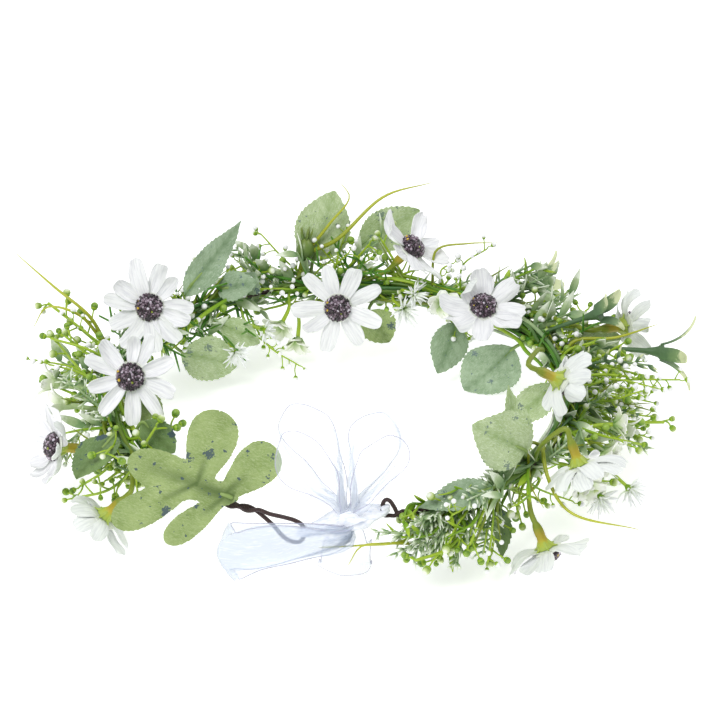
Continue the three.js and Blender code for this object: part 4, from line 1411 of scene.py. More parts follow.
@dataclass
class AngledTwig(Sprig):
    """A dark-green twig with straight arms that leave it at a wide angle."""

    finishes: tuple[Finish, ...] = (GREEN_TWIG,)
    radius: float = 0.85

    def grow(self, draft: MeshDraft, line: Array, rng: np.random.Generator) -> None:
        """Adds the twig and its arms."""
        draft.add_tube(line, [self.radius, 0.85 * self.radius, 0.5 * self.radius], 0, (0, 1), 7, rng.uniform(0, 60))
        tangents = np.gradient(line, axis=0)
        for share in (0.45, 0.7, 0.86):
            i = int(share * (len(line) - 1))
            way = unit(0.8 * unit(tangents[i]) + sideways(tangents[i], rng))
            tip = line[i] + way * rng.uniform(7, 13)
            draft.add_tube(smooth_path([line[i], (line[i] + tip) / 2, tip], 5), [0.6, 0.5, 0.3], 0, (0.5, 1), 6)


@dataclass
class FeatherTwig(Sprig):
    """A frond whose soft needles stand out on both sides, with pale tips."""

    finishes: tuple[Finish, ...] = (FEATHER,)
    slot: Slot = Slot.TRUMPET
    needle: tuple[float, float] = (6.0, 10.0)
    pitch: float = 2.3
    thick: float = 0.55
    start: float = 0.4
    forks: int = 1

    def grow(self, draft: MeshDraft, line: Array, rng: np.random.Generator) -> None:
        """Adds the stem and pairs of needles that shorten to its tip."""
        draft.add_tube(line, [0.75, 0.7, 0.4], 0, (0, 0.7), 7, rng.uniform(0, 60))
        tangents = np.gradient(line, axis=0)
        across = sideways(tangents[len(line) // 2], rng)
        count = max(4, int(path_length(line) * (1 - self.start) / self.pitch))
        for n, share in enumerate(np.linspace(self.start, 0.98, count)):
            i = int(share * (len(line) - 1))
            tangent = unit(tangents[i])
            for side in (-1, 1):
                out = unit(across - tangent * float(across @ tangent))
                way = unit(0.85 * tangent + side * out + 0.35 * rng.normal(size=3))
                size = rng.uniform(*self.needle) * (1.15 - 0.55 * share)
                tip = line[i] + way * size + tangent * 0.12 * size
                middle = line[i] + way * size * 0.55
                spread = [0.6 * self.thick, self.thick, 0.8 * self.thick, 0.3 * self.thick]
                draft.add_tube(smooth_path([line[i], middle, tip], 7), spread, 0, (0.15, 1), 6)
                for k in range(self.forks if n % 2 else 0):
                    fork = middle + unit(way + 0.7 * sideways(way, rng)) * size * 0.45
                    draft.add_tube(smooth_path([middle, (middle + fork) / 2, fork], 5),
                                   [0.6 * self.thick, 0.25 * self.thick], 0, (0.4, 1), 6)


@dataclass
class TrumpetTwig(Sprig):
    """A rubbery twig that widens to a mouth of three or four lobes that curl outwards."""

    finishes: tuple[Finish, ...] = (TRUMPET,)
    slot: Slot = Slot.TRUMPET
    mouth: float = 3.8
    lobe: float = 11.0
    lobes: int = 3
    width: float = 6.2
    ways: Sequence[tuple[tuple[float, float, float], float]] = ()

    def petal(self, draft: MeshDraft, start: Array, along: Array, out: Array, length: float) -> None:
        """Adds one lobe, which leaves along the funnel and curls outwards."""
        rows, columns = 14, 7
        u, v = np.linspace(0, 1, rows), np.linspace(-1, 1, columns)
        bend = 0.25 + 1.05 * u ** 1.3
        step = length / (rows - 1)
        forward = np.concatenate([[0], np.cumsum(np.cos(bend[1:]) * step)])
        outward = np.concatenate([[0], np.cumsum(np.sin(bend[1:]) * step)])
        side = np.cross(along, out)
        half = self.width / 2 * np.sin(math.pi * np.clip(0.3 + 0.66 * u, 0, 1)) ** 0.7
        cup = 0.3 * half[:, None] * v[None] ** 2
        grid = (start + forward[:, None, None] * along + outward[:, None, None] * out
                + (half[:, None] * v[None])[..., None] * side
                + cup[..., None] * (along * 0.8 - out * 0.2))
        lay = np.stack(np.broadcast_arrays(u[:, None] * length, half[:, None] * v[None], length), axis=-1)
        draft.add_plate(grid, 0.6, (0, 0), np.broadcast_to(0.35 + 0.65 * u[:, None], (rows, columns)), lay)

    def grow(self, draft: MeshDraft, line: Array, rng: np.random.Generator) -> None:
        """Adds the twig, its funnel and its lobes."""
        along = unit(line[-1] - line[-3])
        draft.add_tube(line, [0.8, 0.8, 0.85, 0.9, 1.2], 0, (0, 0.25), 10, rng.uniform(0, 60))
        place = facing(line[-1], sideways(along, rng), along)
        funnel = [(0.9, -1.5), (1.35, 0.0), (1.9, 2.5), (2.5, 5.0), (self.mouth, 7.4), (self.mouth - 0.45, 7.3),
                  (1.6, 4.4), (0.3, 3.4)]
        draft.add_turned(funnel, place, 0, [0.2, 0.25, 0.3, 0.36, 0.42, 0.4, 0.1, 0.0], 18)
        rim = line[-1] + along * 6.6
        if self.ways:
            outs = [(unit(np.array(w) - along * float(np.dot(w, along))), size) for w, size in self.ways]
        else:
            first = sideways(along, rng)
            outs = []
            for k in range(self.lobes):
                turn = turned_about(along, 2 * math.pi * k / self.lobes + rng.uniform(-0.2, 0.2))
                outs.append((turn[:3, :3] @ first, self.lobe * rng.uniform(0.85, 1.1)))
        for out, size in outs:
            self.petal(draft, rim + out * (self.mouth - 0.9) - along * 0.6, along, out, size)


@dataclass
class SpikyBlossom(Sprig):
    """A small white blossom of many thin spikes in a green cup."""

    finishes: tuple[Finish, ...] = (LIME, BLOSSOM)
    slot: Slot = Slot.BUD
    spikes: int = 34
    reach: float = 8.0

    def grow(self, draft: MeshDraft, line: Array, rng: np.random.Generator) -> None:
        """Adds the twig, the cup and the spikes."""
        draft.add_tube(line, [0.7, 0.6, 0.8], 0, (0, 1), 8)
        way = unit(line[-1] - line[-3])
        place = facing(line[-1], sideways(way, rng), way)
        draft.add_turned([(0.7, -1.2), (1.6, 0.2), (2.3, 1.9), (1.5, 1.9), (0.2, 1.2)], place, 0,
                         [0.2, 0.4, 0.7, 0.6, 0.3], 12)
        for k in range(self.spikes):
            spread = math.radians(rng.uniform(12, 100) if k % 3 else rng.uniform(60, 95))
            turn = 2.4 * k + rng.uniform(-0.3, 0.3)
            tip = np.array([math.sin(spread) * math.cos(turn), math.sin(spread) * math.sin(turn), math.cos(spread)])
            size = self.reach * rng.uniform(0.72, 1.1)
            start = tip * 1.0 + np.array([0, 0, 1.0])
            end = tip * size + np.array([0, 0, 1.0 + 0.12 * size])
            middle = (start + end) / 2 + rng.normal(size=3) * 0.35
            line_k = smooth_path([start, middle, end], 6)
            draft.add_tube(moved(place, line_k), [0.34, 0.5, 0.42, 0.16], 1, (0.1, 1), 6)


@dataclass
class GrassBlade(Sprig):
    """A long tapered blade of moulded grass."""

    finishes: tuple[Finish, ...] = (GRASS,)
    slot: Slot = Slot.GRASS
    radius: float = 0.95

    def grow(self, draft: MeshDraft, line: Array, rng: np.random.Generator) -> None:
        """Adds the blade."""
        draft.add_tube(line, [self.radius, self.radius, 0.85 * self.radius, 0.6 * self.radius, 0.12], 0, (0, 1), 9,
                       rng.uniform(0, 60))


@dataclass
class PlainStem(Sprig):
    """A bare stem that runs along the ring among the others."""

    finishes: tuple[Finish, ...] = (STEM,)
    slot: Slot = Slot.STEM
    radius: float = 0.95

    def grow(self, draft: MeshDraft, line: Array, rng: np.random.Generator) -> None:
        """Adds the stem."""
        draft.add_tube(line, [self.radius, self.radius, 0.75 * self.radius, 0.12], 0, (0, 1), 8, rng.uniform(0, 60))


@dataclass
class SmallLeafTwig(Sprig):
    """A twig with narrow soft leaves, as moulded in one piece."""

    finishes: tuple[Finish, ...] = (FEATHER,)
    slot: Slot = Slot.TRUMPET
    leaves: int = 5
    size: tuple[float, float] = (10.0, 16.0)
    width: float = 4.2

    def grow(self, draft: MeshDraft, line: Array, rng: np.random.Generator) -> None:
        """Adds the twig and its leaves, which fold along the middle and bend back."""
        draft.add_tube(line, [0.75, 0.7, 0.45], 0, (0, 0.5), 7, rng.uniform(0, 60))
        tangents = np.gradient(line, axis=0)
        rows, columns = 16, 7
        u, v = np.linspace(0, 1, rows), np.linspace(-1, 1, columns)
        for share in np.linspace(0.4, 0.99, self.leaves):
            i = int(share * (len(line) - 1))
            tangent = unit(tangents[i])
            way = unit(0.95 * tangent + sideways(tangent, rng))
            normal = unit(np.cross(way, sideways(way, rng)))
            length = rng.uniform(*self.size)
            half = self.width * rng.uniform(0.8, 1.15) / 2 * np.maximum(np.sin(math.pi * u ** 0.75) ** 0.85, 0.06)
            bend = rng.uniform(-2.5, 1.0) * u ** 2
            side = np.cross(normal, way)
            grid = (line[i] + (u * length)[:, None, None] * way + (half[:, None] * v[None])[..., None] * side
                    + (bend[:, None] + 0.3 * half[:, None] * np.abs(v[None]))[..., None] * normal)
            lay = np.stack(np.broadcast_arrays(u[:, None] * length, half[:, None] * v[None], length), axis=-1)
            draft.add_plate(grid, 0.4, (0, 0), np.broadcast_to(0.2 + 0.8 * u[:, None], (rows, columns)), lay)


@dataclass
class RoseHip(Sprig):
    """An olive hip with its dried sepals."""

    finishes: tuple[Finish, ...] = (HIP,)

    def grow(self, draft: MeshDraft, line: Array, rng: np.random.Generator) -> None:
        """Adds the twig, the hip and its sepals."""
        draft.add_tube(line, [0.8, 0.8, 1.0], 0, (0, 1), 8)
        way = unit(line[-1] - line[-3])
        place = facing(line[-1], sideways(way, rng), way)
        profile = [(1.0, -0.6), (3.0, 0.8), (4.2, 3.4), (4.3, 5.4), (3.4, 8.2), (1.9, 9.8), (1.5, 10.4), (0.4, 10.2)]
        draft.add_turned(profile, place, 0, list(np.linspace(0, 1, 8)), 20)
        for k in range(5):
            turn = 2 * math.pi * k / 5
            c, s = math.cos(turn), math.sin(turn)
            line_k = smooth_path([(1.2 * c, 1.2 * s, 9.8), (2.4 * c, 2.4 * s, 12.4), (2.9 * c, 2.9 * s, 15.6)], 7)
            draft.add_tube(moved(place, line_k), [0.7, 0.55, 0.12], 0, (0.3, 0.9), 6)


@dataclass
class CreamBlossom(Sprig):
    """A small greenish-white blossom of rounded soft petals."""

    finishes: tuple[Finish, ...] = (LIME, PALE_TRUMPET)
    petals: int = 6
    reach: float = 9.0

    def grow(self, draft: MeshDraft, line: Array, rng: np.random.Generator) -> None:
        """Adds the twig and its petals."""
        draft.add_tube(line, [0.7, 0.7, 1.0], 0, (0, 1), 8)
        along = unit(line[-1] - line[-3])
        rows, columns = 14, 9
        u, v = np.linspace(0, 1, rows), np.linspace(-1, 1, columns)
        first = sideways(along, rng)
        for k in range(self.petals):
            turn = turned_about(along, 2 * math.pi * k / self.petals + rng.uniform(-0.2, 0.2))
            out = turn[:3, :3] @ first
            side = np.cross(along, out)
            length = self.reach * rng.uniform(0.85, 1.1)
            bend = rng.uniform(0.3, 0.8) + rng.uniform(0.3, 0.9) * u
            step = length / (rows - 1)
            forward = np.concatenate([[0], np.cumsum(np.cos(bend[1:]) * step)])
            outward = np.concatenate([[0.6], 0.6 + np.cumsum(np.sin(bend[1:]) * step)])
            half = 3.1 * np.sin(math.pi * np.clip(0.14 + 0.78 * u, 0, 1)) ** 0.7
            ripple = 0.35 * np.sin(4 * u[:, None] + 3 * v[None] + k)
            grid = (line[-1] + (forward[:, None] + 0.35 * half[:, None] * v[None] ** 2 + ripple)[..., None] * along
                    + outward[:, None, None] * out + (half[:, None] * v[None])[..., None] * side)
            lay = np.stack(np.broadcast_arrays(u[:, None] * length, half[:, None] * v[None], length), axis=-1)
            draft.add_plate(grid, 0.4, (1, 1), np.broadcast_to(u[:, None], (rows, columns)), lay)


def sprig_path(binding: Binding, way_points: Sequence[tuple[float, float, float]], count: int = 30,
               radius: float = TWIG_RADIUS) -> Array:
    """The line of a sprig: along the wire where it is bound, then through points round the ring."""
    return smooth_path([*binding.run(radius), *(around(*p) for p in way_points)], count)


CAD_SPRIGS: list[tuple[str, Slot, list[tuple[Sprig, Binding, list[tuple[float, float, float]]]]]] = [
    ("bud_sprig_left", Slot.BUD, [(
        PlacedBuds(buds=[(0.5, (-9, -8, 7)), (0.62, (3, 8, 10)), (0.72, (-10, -4, -3)), (0.84, (0, 6, 9)),
                         (0.98, (-5, -2, 1))]),
        Binding(170, 10, -1), [(164, 12, 8), (163, 26, 17), (163, 36, 24)])]),
    ("bud_sprig_right", Slot.BUD, [(
        PlacedBuds(buds=[(0.5, (6, -8, -8)), (0.62, (8, 8, 4)), (0.72, (6, -9, -4)), (0.84, (4, 9, -7)),
                         (0.98, (5, 1, 1))]),
        Binding(2, 340, -1), [(-4, 12, -6), (-5, 28, -7), (-4, 42, -8)])]),
    ("bud_sprig_front", Slot.BUD, [(
        PlacedBuds(buds=[(0.5, (-3, -8, -5)), (0.66, (-8, 6, -6)), (0.8, (-5, -6, -4)), (0.98, (-5, 1, 1))]),
        Binding(-57, 270, -1), [(-61, 8, -8), (-67, 13, -13), (-74, 15, -14)])]),
    ("trumpet_sprig_right", Slot.TRUMPET, [(
        TrumpetTwig(mouth=4.4, ways=[((0.9, 0, 0.45), 21), ((0.95, -0.25, 0.05), 20), ((0.8, -0.35, -0.5), 20)]),
        Binding(24, 330, -1), [(19, 9, 4), (12, 28, 8), (10, 38, 8.6)])]),
    ("trumpet_sprig_back", Slot.TRUMPET, [(
        TrumpetTwig(mouth=4.4, ways=[((0.5, 0.5, 0.75), 18), ((0.9, 0.35, 0.3), 17), ((0.75, 0.6, -0.35), 18)]),
        Binding(61, 330, -1), [(53, 12, 4), (47, 19, 7)])]),
    ("grass_left", Slot.GRASS, [
        (GrassBlade(), Binding(155, 300, 1), [(161, 8, 2), (164, 16, 22), (163, 33, 33), (162, 51, 45)]),
        (GrassBlade(), Binding(155, 300, 1), [(161, 8, 2), (165, 20, 23), (166, 34, 26), (168, 39, 18)])]),
    ("grass_back", Slot.GRASS, [
        (GrassBlade(radius=1.1), Binding(106, 20, -1), [(99, 7, 12), (91, 4, 22), (80, 14, 40), (70, 22, 46)]),
        (GrassBlade(), Binding(106, 20, -1), [(99, 7, 12), (93, 9, 27), (88, 12, 40), (90, 14, 46)])]),
]


# ---------------------------------------------------------------- filling between the flowers


@dataclass(frozen=True)
class Accent:
    """A sprig at a set place: where it is bound, and the points that it then goes through."""

    sprig: Sprig
    binding: Binding
    points: tuple[tuple[float, float, float], ...]

    def line(self) -> Array:
        """Its path in millimetres."""
        return smooth_path([*self.binding.run(TWIG_RADIUS), *(np.array(p) for p in self.points)], 30)


@dataclass
class FillRegion:
    """A stretch of the ring and the sprigs that fill it, each with its count."""

    name: str
    angles: tuple[float, float]
    mix: list[tuple[Sprig, int]]
    out: tuple[float, float]
    up: tuple[float, float]
    run: tuple[float, float] = (14.0, 34.0)
    ways: tuple[int, ...] = (1, -1)

    def path(self, rng: np.random.Generator) -> Array:
        """A random path that leaves the wire and stays clear of the flower heads."""
        low, high = (HINGE_ANGLE - 1, 300.0) if self.angles[0] > HINGE_ANGLE else (-76.0, HINGE_ANGLE + 3)
        line = None
        for _ in range(60):
            way = int(rng.choice(self.ways))
            binding = Binding(rng.uniform(*self.angles), rng.uniform(0, 360), way)
            along = math.degrees(rng.uniform(*self.run) / RING_RADIUS)
            out, up = rng.uniform(*self.out), rng.uniform(*self.up)
            tip = min(max(binding.site + way * (4 + along), low), high)
            middle = binding.site + 0.55 * (tip - binding.site) + 2 * way
            wave = rng.uniform(-4, 4, 2)
            line = sprig_path(binding, [(middle, 0.4 * out + wave[0], 0.42 * up + wave[1]), (tip, out, up)], 26)
            if all(clear_of_head(flower, line) for flower in DAISIES):
                return line
        return line


def clear_of_head(flower: DaisyFlower, line: Array) -> bool:
    """Whether a line keeps out of the room in which a flower head turns, and off its calyx."""
    local = (line - flower.place[:3, 3]) @ flower.place[:3, :3]
    reach = np.hypot(local[:, 0], local[:, 1])
    in_petals = (reach < flower.radius + 2.5) & (local[:, 2] > -2.2) & (local[:, 2] < flower.cup + 6)
    in_calyx = (reach < 5.5) & (local[:, 2] > -15) & (local[:, 2] <= -2.2)
    return not bool(np.any(in_petals | in_calyx))


BUD_TWIG, PEARL_TWIG, ANGLED = BudTwig(), PearlTwig(), AngledTwig()
FROND, STEM_RUN, LEAFLET = FeatherTwig(), PlainStem(), SmallLeafTwig()
LIME_STEM = PlainStem((LIME,), Slot.STEM, 0.8)
PALE_MOUTH = TrumpetTwig((PALE_TRUMPET,), lobe=9.0, lobes=4, width=4.8)
GREEN_LEAFLET = SmallLeafTwig((LIME,), Slot.BUD, 4, (7.0, 11.0), 2.6)
THICK_FROND = FeatherTwig((TRUMPET,), needle=(8.0, 12.0), pitch=5.5, thick=0.8, forks=0)
THIN_BLADE = GrassBlade(radius=0.7)

ACCENTS: list[tuple[str, list[Accent]]] = [
    ("left_outer_buds", [
        Accent(BUD_TWIG, Binding(172, 20, -1), ((-110, 10, 17), (-127, 15, 20))),
        Accent(BUD_TWIG, Binding(176, 330, -1), ((-108, 14, 9), (-122, 26, 15))),
        Accent(BUD_TWIG, Binding(207, 300, 1), ((-99, -46, -20), (-115, -47, -24))),
        Accent(BUD_TWIG, Binding(199, 280, 1), ((-102, -38, -16), (-112, -40, -22))),
        Accent(BUD_TWIG, Binding(200, 120, 1), ((-82, -44, 6), (-71, -40, 8))),
        Accent(BUD_TWIG, Binding(205, 200, 1), ((-84, -50, 3), (-78, -47, 12))),
    ]),
    ("left_pearls", [
        Accent(PEARL_TWIG, Binding(176, 10, 1), ((-115, 5, 10), (-134, 5, 15))),
        Accent(PEARL_TWIG, Binding(180, 60, 1), ((-112, -3, 12), (-127, -4, 18))),
        Accent(PEARL_TWIG, Binding(166, 30, -1), ((-108, 24, 14), (-120, 26, 24))),
    ]),
    ("left_mouths", [
        Accent(PALE_MOUTH, Binding(178, 0, 1), ((-108, -4, 4), (-119, -4, 7))),
        Accent(PALE_MOUTH, Binding(182, 340, 1), ((-106, -12, 0), (-115, -13, 2))),
    ]),
    ("back_left_twigs", [
        Accent(ANGLED, Binding(128, 250, 1), ((-56, 74, -10), (-47, 62, -13))),
        Accent(ANGLED, Binding(124, 230, -1), ((-46, 78, -8), (-39, 68, -9))),
        Accent(ANGLED, Binding(142, 160, -1), ((-72, 62, 4), (-64, 54, 4))),
        Accent(ANGLED, Binding(150, 220, -1), ((-80, 48, -2), (-70, 42, -5))),
        Accent(ANGLED, Binding(134, 60, -1), ((-62, 78, 9), (-52, 84, 10))),
        Accent(ANGLED, Binding(126, 120, -1), ((-50, 84, 6), (-41, 88, 3))),
    ]),
    ("back_left_pearls", [
        Accent(PEARL_TWIG, Binding(124, 90, -1), ((-48, 90, 4), (-39, 93, 2))),
        Accent(PEARL_TWIG, Binding(122, 250, -1), ((-40, 80, -14), (-31, 74, -19))),
        Accent(PEARL_TWIG, Binding(122, 270, -1), ((-34, 76, -18), (-19, 67, -24))),
        Accent(PEARL_TWIG, Binding(128, 30, -1), ((-52, 92, 10), (-42, 101, 12))),
    ]),
    ("spiky_blossoms_left", [
        Accent(SpikyBlossom(), Binding(128, 270, 1), ((-54, 74, -12), (-49, 65, -15))),
        Accent(SpikyBlossom(reach=6), Binding(123, 200, -1), ((-44, 80, -8), (-36, 76, -10))),
    ]),
    ("spiky_blossoms_back", [
        Accent(SpikyBlossom(reach=9), Binding(80, 240, -1), ((24, 92, -3), (28, 86, -4))),
        Accent(SpikyBlossom(reach=7), Binding(76, 200, -1), ((28, 92, 2), (33, 85, 4))),
    ]),
    ("spiky_blossoms_right", [
        Accent(SpikyBlossom(), Binding(-14, 320, -1), ((112, -36, -12), (124, -44, -20))),
        Accent(SpikyBlossom(), Binding(-20, 300, -1), ((104, -44, -13), (111, -51, -20))),
    ]),
    ("cream_blossoms_back", [
        Accent(CreamBlossom(), Binding(102, 250, 1), ((-20, 94, -13), (-20, 86, -20))),
        Accent(CreamBlossom(), Binding(100, 200, 1), ((-24, 90, -6), (-27, 83, -10))),
        Accent(CreamBlossom(), Binding(58, 200, -1), ((46, 82, 2), (46, 76, 4))),
    ]),
    ("cream_blossoms_right", [
        Accent(CreamBlossom(), Binding(-22, 330, -1), ((104, -36, -4), (112, -40, -6))),
        Accent(CreamBlossom(), Binding(-28, 320, -1), ((98, -46, -8), (104, -54, -12))),
        Accent(CreamBlossom(), Binding(-16, 350, -1), ((108, -30, 2), (118, -30, 3))),
        Accent(CreamBlossom(), Binding(-6, 300, -1), ((106, -22, -8), (114, -26, -11))),
    ]),
    ("back_pearls", [
        Accent(PEARL_TWIG, Binding(97, 60, -1), ((-1, 106, 14), (2, 110, 22))),
        Accent(PEARL_TWIG, Binding(90, 80, -1), ((8, 102, 10), (13, 101, 16))),
        Accent(PEARL_TWIG, Binding(66, 60, -1), ((46, 92, 12), (51, 90, 17))),
        Accent(PEARL_TWIG, Binding(62, 40, -1), ((56, 90, 16), (67, 91, 24))),
        Accent(PEARL_TWIG, Binding(102, 60, 1), ((-24, 100, 6), (-30, 101, 8))),
    ]),
    ("hip_back", [Accent(RoseHip(), Binding(101, 80, 1), ((-18, 102, 5), (-17, 104, 11)))]),
    ("right_mouth", [Accent(TrumpetTwig(lobe=14.0, width=6.6, mouth=4.4), Binding(34, 40, -1),
                            ((98, 40, 12), (109, 37, 18)))]),
    ("right_low_mouths", [
        Accent(PALE_MOUTH, Binding(-8, 320, -1), ((104, -24, -4), (110, -30, -8))),
        Accent(PALE_MOUTH, Binding(-14, 300, -1), ((102, -32, -10), (107, -37, -16))),
        Accent(PALE_MOUTH, Binding(-2, 0, -1), ((108, -12, -4), (118, -16, -6))),
    ]),
    ("right_long_fronds", [
        Accent(THICK_FROND, Binding(14, 0, -1), ((115, 12, 10), (137, 5, 12))),
        Accent(THICK_FROND, Binding(6, 330, -1), ((112, -4, -2), (130, -12, -4))),
        Accent(FROND, Binding(58, 330, -1), ((74, 88, 8), (92, 78, 20))),
        Accent(FROND, Binding(46, 10, -1), ((92, 68, 8), (106, 62, 15))),
    ]),
    ("right_buds", [
        Accent(BUD_TWIG, Binding(10, 20, -1), ((112, 4, 8), (128, 2, 8))),
        Accent(BUD_TWIG, Binding(6, 350, -1), ((110, -4, 4), (121, -7, 3))),
        Accent(BUD_TWIG, Binding(12, 310, -1), ((112, 8, 0), (124, 6, -2))),
        Accent(BUD_TWIG, Binding(18, 350, -1), ((116, 14, 6), (134, 10, 4))),
    ]),
    ("right_pearls", [
        Accent(PEARL_TWIG, Binding(2, 340, -1), ((116, -6, -4), (135, -10, -5))),
        Accent(PEARL_TWIG, Binding(-4, 330, -1), ((114, -12, -8), (133, -15, -12))),
        Accent(PEARL_TWIG, Binding(8, 350, -1), ((124, 6, 4), (149, 3, 6))),
        Accent(PEARL_TWIG, Binding(4, 30, -1), ((118, 0, 8), (138, -4, 6))),
    ]),
    ("right_grass", [
        Accent(GrassBlade(), Binding(-26, 60, -1), ((86, -55, 9), (88, -66, -1), (97, -85, -7), (125, -90, -12))),
        Accent(GrassBlade(radius=0.8), Binding(-24, 110, -1), ((81, -54, 8), (81, -68, -4), (86, -78, -9))),
        Accent(THIN_BLADE, Binding(70, 60, -1), ((44, 99, 19), (58, 98, 23), (72, 97, 24))),
        Accent(GrassBlade(), Binding(20, 20, -1), ((104, 30, 10), (122, 28, 13), (140, 24, 22))),
    ]),
    ("front_grass", [
        Accent(GrassBlade(), Binding(-60, 300, -1), ((37, -99, -11), (20, -107, -8), (9, -111, -7), (4, -114, -14))),
        Accent(THIN_BLADE, Binding(-62, 280, -1), ((28, -101, -10), (8, -107, -9), (-8, -110, -8))),
    ]),
    ("front_fronds", [
        Accent(FROND, Binding(-61, 330, -1), ((32, -104, -4), (15, -106, -3))),
        Accent(FROND, Binding(-60, 280, -1), ((34, -103, -8), (23, -106, -14))),
        Accent(FROND, Binding(-56, 290, -1), ((42, -101, -10), (36, -103, -17))),
        Accent(FROND, Binding(-52, 280, -1), ((52, -96, -12), (48, -98, -22))),
        Accent(FROND, Binding(-47, 290, -1), ((62, -90, -13), (60, -92, -23))),
        Accent(GREEN_LEAFLET, Binding(-58, 300, -1), ((38, -103, -6), (26, -107, -5))),
        Accent(GREEN_LEAFLET, Binding(-50, 320, -1), ((56, -97, -4), (44, -103, -8))),
    ]),
    ("back_right_leaflets", [
        Accent(LEAFLET, Binding(52, 30, -1), ((84, 74, 14), (98, 72, 22))),
        Accent(LEAFLET, Binding(56, 60, -1), ((74, 80, 14), (88, 78, 23))),
        Accent(GREEN_LEAFLET, Binding(54, 80, -1), ((78, 76, 16), (92, 73, 25))),
    ]),
]

REGIONS = [
    FillRegion("back_left", (118, 166), [(BUD_TWIG, 10), (PEARL_TWIG, 13), (ANGLED, 12), (FROND, 5), (LEAFLET, 9),
                                         (LIME_STEM, 7), (STEM_RUN, 8)], (-9, 16), (-15, 17)),
    FillRegion("back", (64, 106), [(BUD_TWIG, 10), (PEARL_TWIG, 14), (ANGLED, 10), (LEAFLET, 9), (STEM_RUN, 11),
                                   (LIME_STEM, 7), (FROND, 5)], (-8, 18), (-12, 23)),
    FillRegion("back_right", (22, 64), [(BUD_TWIG, 10), (PEARL_TWIG, 8), (ANGLED, 6), (LEAFLET, 9), (STEM_RUN, 11),
                                        (LIME_STEM, 6), (FROND, 6)], (-5, 26), (-9, 20), (16, 40), (-1,)),
    FillRegion("right", (-22, 22), [(BUD_TWIG, 9), (PEARL_TWIG, 7), (LEAFLET, 7), (STEM_RUN, 9), (LIME_STEM, 9),
                                    (FROND, 8)], (2, 40), (-15, 17), (8, 26), (-1, -1, 1)),
    FillRegion("front_right", (-56, -22), [(BUD_TWIG, 8), (PEARL_TWIG, 5), (LEAFLET, 5), (STEM_RUN, 6),
                                           (LIME_STEM, 5), (FROND, 8), (GREEN_LEAFLET, 4)],
               (-3, 22), (-24, 9), (14, 30), (-1, -1, 1)),
    FillRegion("front", (-66, -54), [(BUD_TWIG, 3), (FROND, 7), (LIME_STEM, 4), (GREEN_LEAFLET, 3)],
               (-3, 12), (-22, 5), (8, 18), (-1,)),
    FillRegion("left", (164, 210), [(BUD_TWIG, 11), (PEARL_TWIG, 6), (LEAFLET, 5), (STEM_RUN, 7), (LIME_STEM, 6),
                                    (FROND, 4)], (-2, 30), (-17, 18), (12, 28)),
    FillRegion("front_left", (208, 226), [(BUD_TWIG, 5), (LEAFLET, 3), (LIME_STEM, 4), (STEM_RUN, 3)],
               (-4, 14), (-20, 4), (8, 16), (-1,)),
]


@dataclass
class StemBundle:
    """Stems of all the sprigs that run round the wire side by side, hiding most of it."""

    name: str
    angles: tuple[float, float]
    strands: int = 9
    reach: tuple[float, float] = (2.6, 6.4)

    def build(self, rng: np.random.Generator) -> None:
        """Makes the strands, each a stretch of the bundle that wanders round the wire."""
        draft = MeshDraft()
        kinds = [STEM, LIME, GREEN_TWIG, FEATHER]
        span = self.angles[1] - self.angles[0]
        pieces = int(self.strands * span / 42)
        for _ in range(pieces):
            length = rng.uniform(26, 46)
            start = rng.uniform(self.angles[0], max(self.angles[0] + 0.1, self.angles[1] - length))
            stop = min(start + length, self.angles[1])
            slot, drift, reach = rng.uniform(0, 360), rng.uniform(-120, 120), rng.uniform(*self.reach)
            points = []
            for share in np.linspace(0, 1, 7):
                turn = math.radians(slot + drift * share)
                far = reach + rng.uniform(-0.7, 0.9) + 1.4 * share ** 3
                points.append(around(start + (stop - start) * share, far * math.cos(turn), far * math.sin(turn)))
            draft.add_tube(smooth_path(points, 40), [0.6, 0.9, 0.95, 0.9, 0.5], int(rng.integers(0, 4)),
                           (0, 1), 8, rng.uniform(0, 90))
        settle(draft.build(self.name, kinds), half_at(sum(self.angles) / 2).value)


@dataclass
class Foliage:
    """All the sprigs and grass: those that stand for CAD nodes, those at set places, and the fill."""

    def cad_sprigs(self, rng: np.random.Generator) -> None:
        """Makes the sprigs that the CAD has too."""
        for name, slot, members in CAD_SPRIGS:
            draft = MeshDraft()
            for sprig, binding, points in members:
                sprig.grow(draft, sprig_path(binding, points, 34), rng)
            settle(draft.build("moulded_" + name, members[0][0].finishes), half_at(members[0][1].site).value,
                   [name])

    def accents(self, rng: np.random.Generator) -> None:
        """Makes the sprigs at set places, those of one finish in each piece."""
        for name, members in ACCENTS:
            groups: dict[tuple[Finish, ...], list[Accent]] = {}
            for accent in members:
                groups.setdefault(accent.sprig.finishes, []).append(accent)
            for number, (finishes, group) in enumerate(groups.items()):
                draft = MeshDraft()
                for accent in group:
                    accent.sprig.grow(draft, accent.line(), rng)
                piece = draft.build(f"{name}_{number}" if number else name, finishes)
                settle(piece, half_at(group[0].binding.site).value)

    def fill(self) -> None:
        """Makes the random fill of each region, seeded by the region."""
        for number, region in enumerate(REGIONS):
            rng = np.random.default_rng(700 + number)
            half = half_at(sum(region.angles) / 2).value
            for sprig, count in region.mix:
                draft = MeshDraft()
                for _ in range(count):
                    sprig.grow(draft, region.path(rng), rng)
                kind = type(sprig).__name__.lower()
                settle(draft.build(f"fill_{region.name}_{kind}_{sprig.finishes[0].name[8:]}", sprig.finishes), half)

    def build(self) -> None:
        """Makes everything green between the flowers."""
        self.cad_sprigs(np.random.default_rng(41))
        self.accents(np.random.default_rng(42))
        self.fill()
        rng = np.random.default_rng(43)
        StemBundle("stem_bundle_left", (113.2, 238)).build(rng)
        StemBundle("stem_bundle_right", (-66, 110.8)).build(rng)


# ---------------------------------------------------------------- organza ribbon


